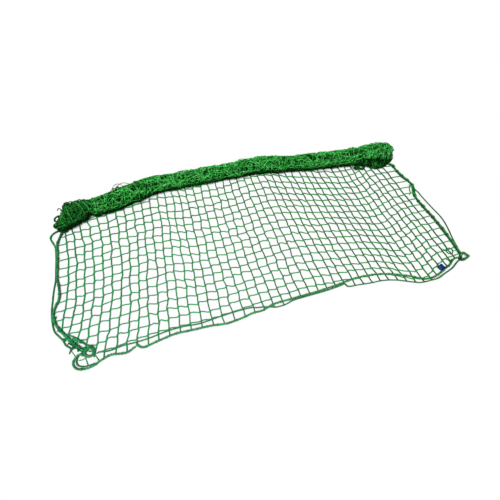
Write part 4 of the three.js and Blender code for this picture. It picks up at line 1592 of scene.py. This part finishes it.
@dataclass
class NetPanel:
    """The netting: its spread part and its roll."""

    roll: Roll
    # Depths under the skin of the roll's turns, the first one's random number, how far their
    # twine strays, and the length between its samples.
    turns: tuple[tuple[str, tuple[float, ...], int, float, float], ...] = (
        ("roll_outer_turns", (0.0, 0.9, 1.8, 2.7), 0, 13.0, 7.0),
        ("roll_middle_turns", (3.8, 4.6, 5.4, 6.2), 20, 14.0, 7.5),
        ("roll_inner_turns", (7.4, 8.6, 9.8, 11.0), 10, 16.0, 9.0),
    )
    # Share of its cut that the netting is declared to cover, the smallest that may be given.
    covered: float = 0.3
    # Middle, size and tone of a mesh that lies pulled round at the right.
    slack_at: tuple[float, float] = (1010, -335)
    slack_size: float = 19
    slack_tone: float = 0.6
    # Share of the light that gets to the loose loops on the roll.
    loops_lit: float = 0.2

    def build(self, twine: bpy.types.Material, wound: bpy.types.Material) -> None:
        """Makes both parts.

        Args:
            twine: finish of the spread netting.
            wound: finish of the rolled netting.
        """
        netting = Netting(self.roll).surface()
        spread = install("netting_spread", netting, twine, "netting", "net_spread")
        winding = WoundNetting(self.roll)
        for name, depths, start, wander, step in self.turns:
            layers = [
                winding.layer(start + number, depth, wander, step)
                for number, depth in enumerate(depths)
            ]
            nodes = ("net_roll",) if start == 0 else ()
            install(name, joined(layers), wound, "wound_netting", *nodes)
        install("roll_heart", winding.heart(), wound, "wound_netting")
        install("roll_end_turns", self.end_turns(), wound, "wound_netting")
        knotted = joined([
            *(one.surface() for one in (*LEFT_CORNER_TWINES, *RIGHT_EDGE_TWINES)),
            *(knot(*row) for row in KNOTS),
            self.slack_mesh(),
        ])
        install("knotted_meshes", knotted, twine, "netting")

    def end_turns(self) -> Surface:
        """Turns of twine round the roll's left end, and its loose loops.

        A turn lies at x + lean cos(angle - most) + waves along the roll. It starts and ends under
        the roll. Light gets to its upper side, and most to the turns that stand off furthest.

        Returns:
            All of them as one surface.
        """
        x, lean, most, lift, radius = np.array(WINDINGS, float).T[..., None]
        angle = np.radians(np.linspace(-70, 245, 90))
        waves = 3.5 * np.sin(2 * angle + x) + 1.5 * np.sin(5 * angle + 2 * x)
        paths = self.roll.skin(x + lean * np.cos(angle - np.radians(most)) + waves, angle, lift)
        proud = np.where(lift > 4.5, 1.0, 0.4)
        tone = 0.1 + 0.55 * np.clip(np.sin(angle) + 0.2, 0, 1) * proud
        turns = tubes(paths, radius, sides=10, facing=self.roll.outward(paths), tone=tone)
        loops = joined([one.surface() for one in ROLL_TWINES])
        return joined([turns, loops.dimmed(self.loops_lit)])

    def slack_mesh(self) -> Surface:
        """A mesh pulled round: a closed ring of twine on the floor, waving up and down a little.

        Returns:
            The ring.
        """
        a = np.linspace(0, TURN * 1.02, 40)
        x, y = (at + self.slack_size * way(a) for at, way in zip(self.slack_at, (np.cos, np.sin)))
        ring = np.stack([x, y, 3.3 + 0.8 * np.cos(2 * a)], axis=-1)
        return tubes(ring[None], 2.4, sides=8, tone=self.slack_tone)


@dataclass
class CornerRings:
    """Small closed loops of rope at the corners."""

    # The left ring's middle, half length and half width, and degrees that it is turned.
    middle: tuple[float, float] = (-876, -325)
    long: float = 22
    wide: float = 21
    degrees: float = 20
    turns: float = 2.1
    # How much smaller each turn is than the last, and by how much it lies higher.
    shrink: float = 0.14
    rise: float = 1.8
    # Radius, length of lay and tone of the ring's rope and of the eye's.
    ring_rope: tuple[float, float, float] = (4.3, 36.0, 0.8)
    eye_rope: tuple[float, float, float] = (3.3, 30.0, 0.75)

    def ring(self) -> np.ndarray:
        """Oval laid in turns, each inside the last: (long c, wide s) shrunk and turned.

        Returns:
            Stops of the rope's middle.
        """
        a = np.linspace(0, TURN * self.turns, int(12 * self.turns))
        shrunk = 1 - self.shrink * np.floor(a / TURN + 0.5)
        u, v = self.long * shrunk * np.cos(a), self.wide * shrunk * np.sin(a)
        x, y = (at + way for at, way in zip(self.middle, swung(u, v, self.degrees)))
        return np.stack([x, y, NET + 4 + self.rise * (a / TURN)], axis=-1)

    def build(self, rope: bpy.types.Material) -> None:
        """Makes the round left ring, and the pointed right eye through the stops of RIGHT_EYE.

        Args:
            rope: finish of the rope.
        """
        for name, stops, (radius, lay_length, tone), node in (
            ("ring_left", self.ring(), self.ring_rope, "corner_ring_left"),
            ("eye_right", RIGHT_EYE, self.eye_rope, "corner_eye_right"),
        ):
            path = smoothed(stops, samples=6, spacing=3)
            install(name, laid(path, radius, tone, lay_length), rope, "laid_rope", node)


@dataclass
class Label:
    """Plain label tape folded over the front rope, one leaf lying back on the netting."""

    x: float = 908
    y: float = -425
    degrees: float = 18
    width: float = 38
    # How far from the rope's side its leaf reaches and comes down on the netting, and how much of
    # that reach isn't counted in its cut.
    leaf: float = 26
    leaf_start: float = 5
    uncounted: float = 2.5
    thickness: float = 1.0
    # Gap to the rope, the degrees round the rope that it is folded over, and its corners' curl.
    gap: float = 0.6
    fold: tuple[float, float] = (115, 10)
    curl: float = 1.2

    def surface(self) -> Surface:
        """Section over the rope and down on the netting, carried along the rope.

        Its corners curl up by curl (u / half width)^4, more and more towards the leaf's end.

        Returns:
            The label's surface.
        """
        bend = np.radians(np.linspace(*self.fold, 14))
        outline = []
        for out in (0, self.thickness):
            reach = ROPE_RADIUS + self.gap + out
            arc = np.stack(
                [reach * np.cos(bend), NET + ROPE_RADIUS + reach * np.sin(bend)], axis=-1
            )
            flat = np.linspace(ROPE_RADIUS + self.leaf_start, ROPE_RADIUS + self.leaf, 10)
            outline.append(np.concatenate([arc, np.column_stack([flat, np.full(10, NET + out)])]))
        section = np.concatenate([outline[0], outline[1][::-1]])
        half = self.width / 2
        across = np.linspace(-half, half, 12)[:, None]
        far = np.clip((section[:, 0] - 12) / 20, 0, 1)
        x, y = swung(across, section[:, 0], self.degrees)
        z = section[:, 1] + self.curl * (across / half) ** 4 * far
        return shell(np.stack([self.x + x, self.y + y, z], axis=-1))

    def build(self, tape: bpy.types.Material) -> None:
        """Makes the label.

        Args:
            tape: its finish.
        """
        piece = install("label_tape", self.surface(), tape, "woven_label", "label")


# Studio.


@dataclass
class Studio:
    """Pale floor, soft light from above, and the camera that the picture was taken with."""

    # The camera's place in metres, its heading, how far it looks down and is rolled in degrees,
    # its focal length and film, and the nearest and furthest that it sees.
    camera_at: tuple[float, float, float] = (-0.5593, -0.8834, 1.6375)
    forward: tuple[float, float] = (0.489, 0.872)
    pitch: float = 59.95
    rolled: float = 11.93
    focal: float = 26.41
    film: float = 36.0
    nearest: float = 0.05
    furthest: float = 60.0
    # Strength of the key light and of the sky, the key light's width and how it leans, in degrees.
    key: float = 4.4
    sky: float = 0.16
    softness: float = 24.0
    lean_forward: float = 20.0
    lean_left: float = -10.0
    # Half the floor's side, and how far it lies under the net, in metres.
    floor_reach: float = 9.0
    floor_drop: float = 0.0005

    def build(self) -> None:
        """Makes camera, floor and lights."""
        self.camera()
        self.floor()
        self.lights()

    def camera(self) -> None:
        """Sets up the camera.

        It looks along heading cos(pitch) - up sin(pitch), rolled about that line.
        """
        heading = unit(np.array([*self.forward, 0.0]))
        pitch, rolled = math.radians(self.pitch), math.radians(self.rolled)
        look = heading * math.cos(pitch) - np.array([0, 0, math.sin(pitch)])
        level = np.cross(heading, UP)
        above = np.cross(level, look)
        right = math.cos(rolled) * level + math.sin(rolled) * above
        up = -math.sin(rolled) * level + math.cos(rolled) * above
        data = bpy.data.cameras.new("camera")
        data.sensor_width, data.lens = self.film, self.focal
        data.clip_start, data.clip_end = self.nearest, self.furthest
        camera = bpy.data.objects.new("camera", data)
        pose = np.eye(4)
        pose[:3] = np.stack([right, up, -look, self.camera_at], axis=1)
        camera.matrix_world = Matrix(pose.tolist())
        bpy.context.scene.collection.objects.link(camera)
        bpy.context.scene.camera = camera

    def floor(self) -> None:
        """Lays a pale floor just under the net."""
        mesh = bpy.data.meshes.new("floor")
        corners = [(x * self.floor_reach, y * self.floor_reach, -self.floor_drop)
                   for x, y in ((-1, -1), (1, -1), (1, 1), (-1, 1))]
        mesh.from_pydata(corners, [], [(0, 1, 2, 3)])
        mesh.materials.append(FloorFinish().build())
        floor = bpy.data.objects.new("floor", mesh)
        bpy.context.scene.collection.objects.link(floor)

    def lights(self) -> None:
        """Shines one broad soft light from high in front, and fills in with an even pale sky."""
        data = bpy.data.lights.new("key", "SUN")
        data.angle, data.energy = math.radians(self.softness), self.key
        light = bpy.data.objects.new("key", data)
        light.rotation_euler = (math.radians(self.lean_forward), math.radians(self.lean_left), 0)
        scene = bpy.context.scene
        scene.collection.objects.link(light)
        scene.world = bpy.data.worlds.new("pale_sky")
        scene.world.use_nodes = True
        background = scene.world.node_tree.nodes["Background"].inputs
        background["Color"].default_value = (1, 1, 1, 1)
        background["Strength"].default_value = self.sky
        scene.view_settings.view_transform = "Standard"


def main() -> None:
    """Builds the whole scene in order."""
    logging.basicConfig(level=logging.INFO, format="%(name)s: %(message)s")
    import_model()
    Studio().build()
    twine, wound, rope, cord = (
        finish.build() for finish in (NETTING_TWINE, WOUND_TWINE, ROPE, CORD)
    )
    DrawCords().build(cord, twine)
    EdgeRopes().build(rope, twine)
    NetPanel(Roll()).build(twine, wound)
    CornerRings().build(rope)
    Label().build(LabelFinish().build())


if __name__ == "__main__":
    main()
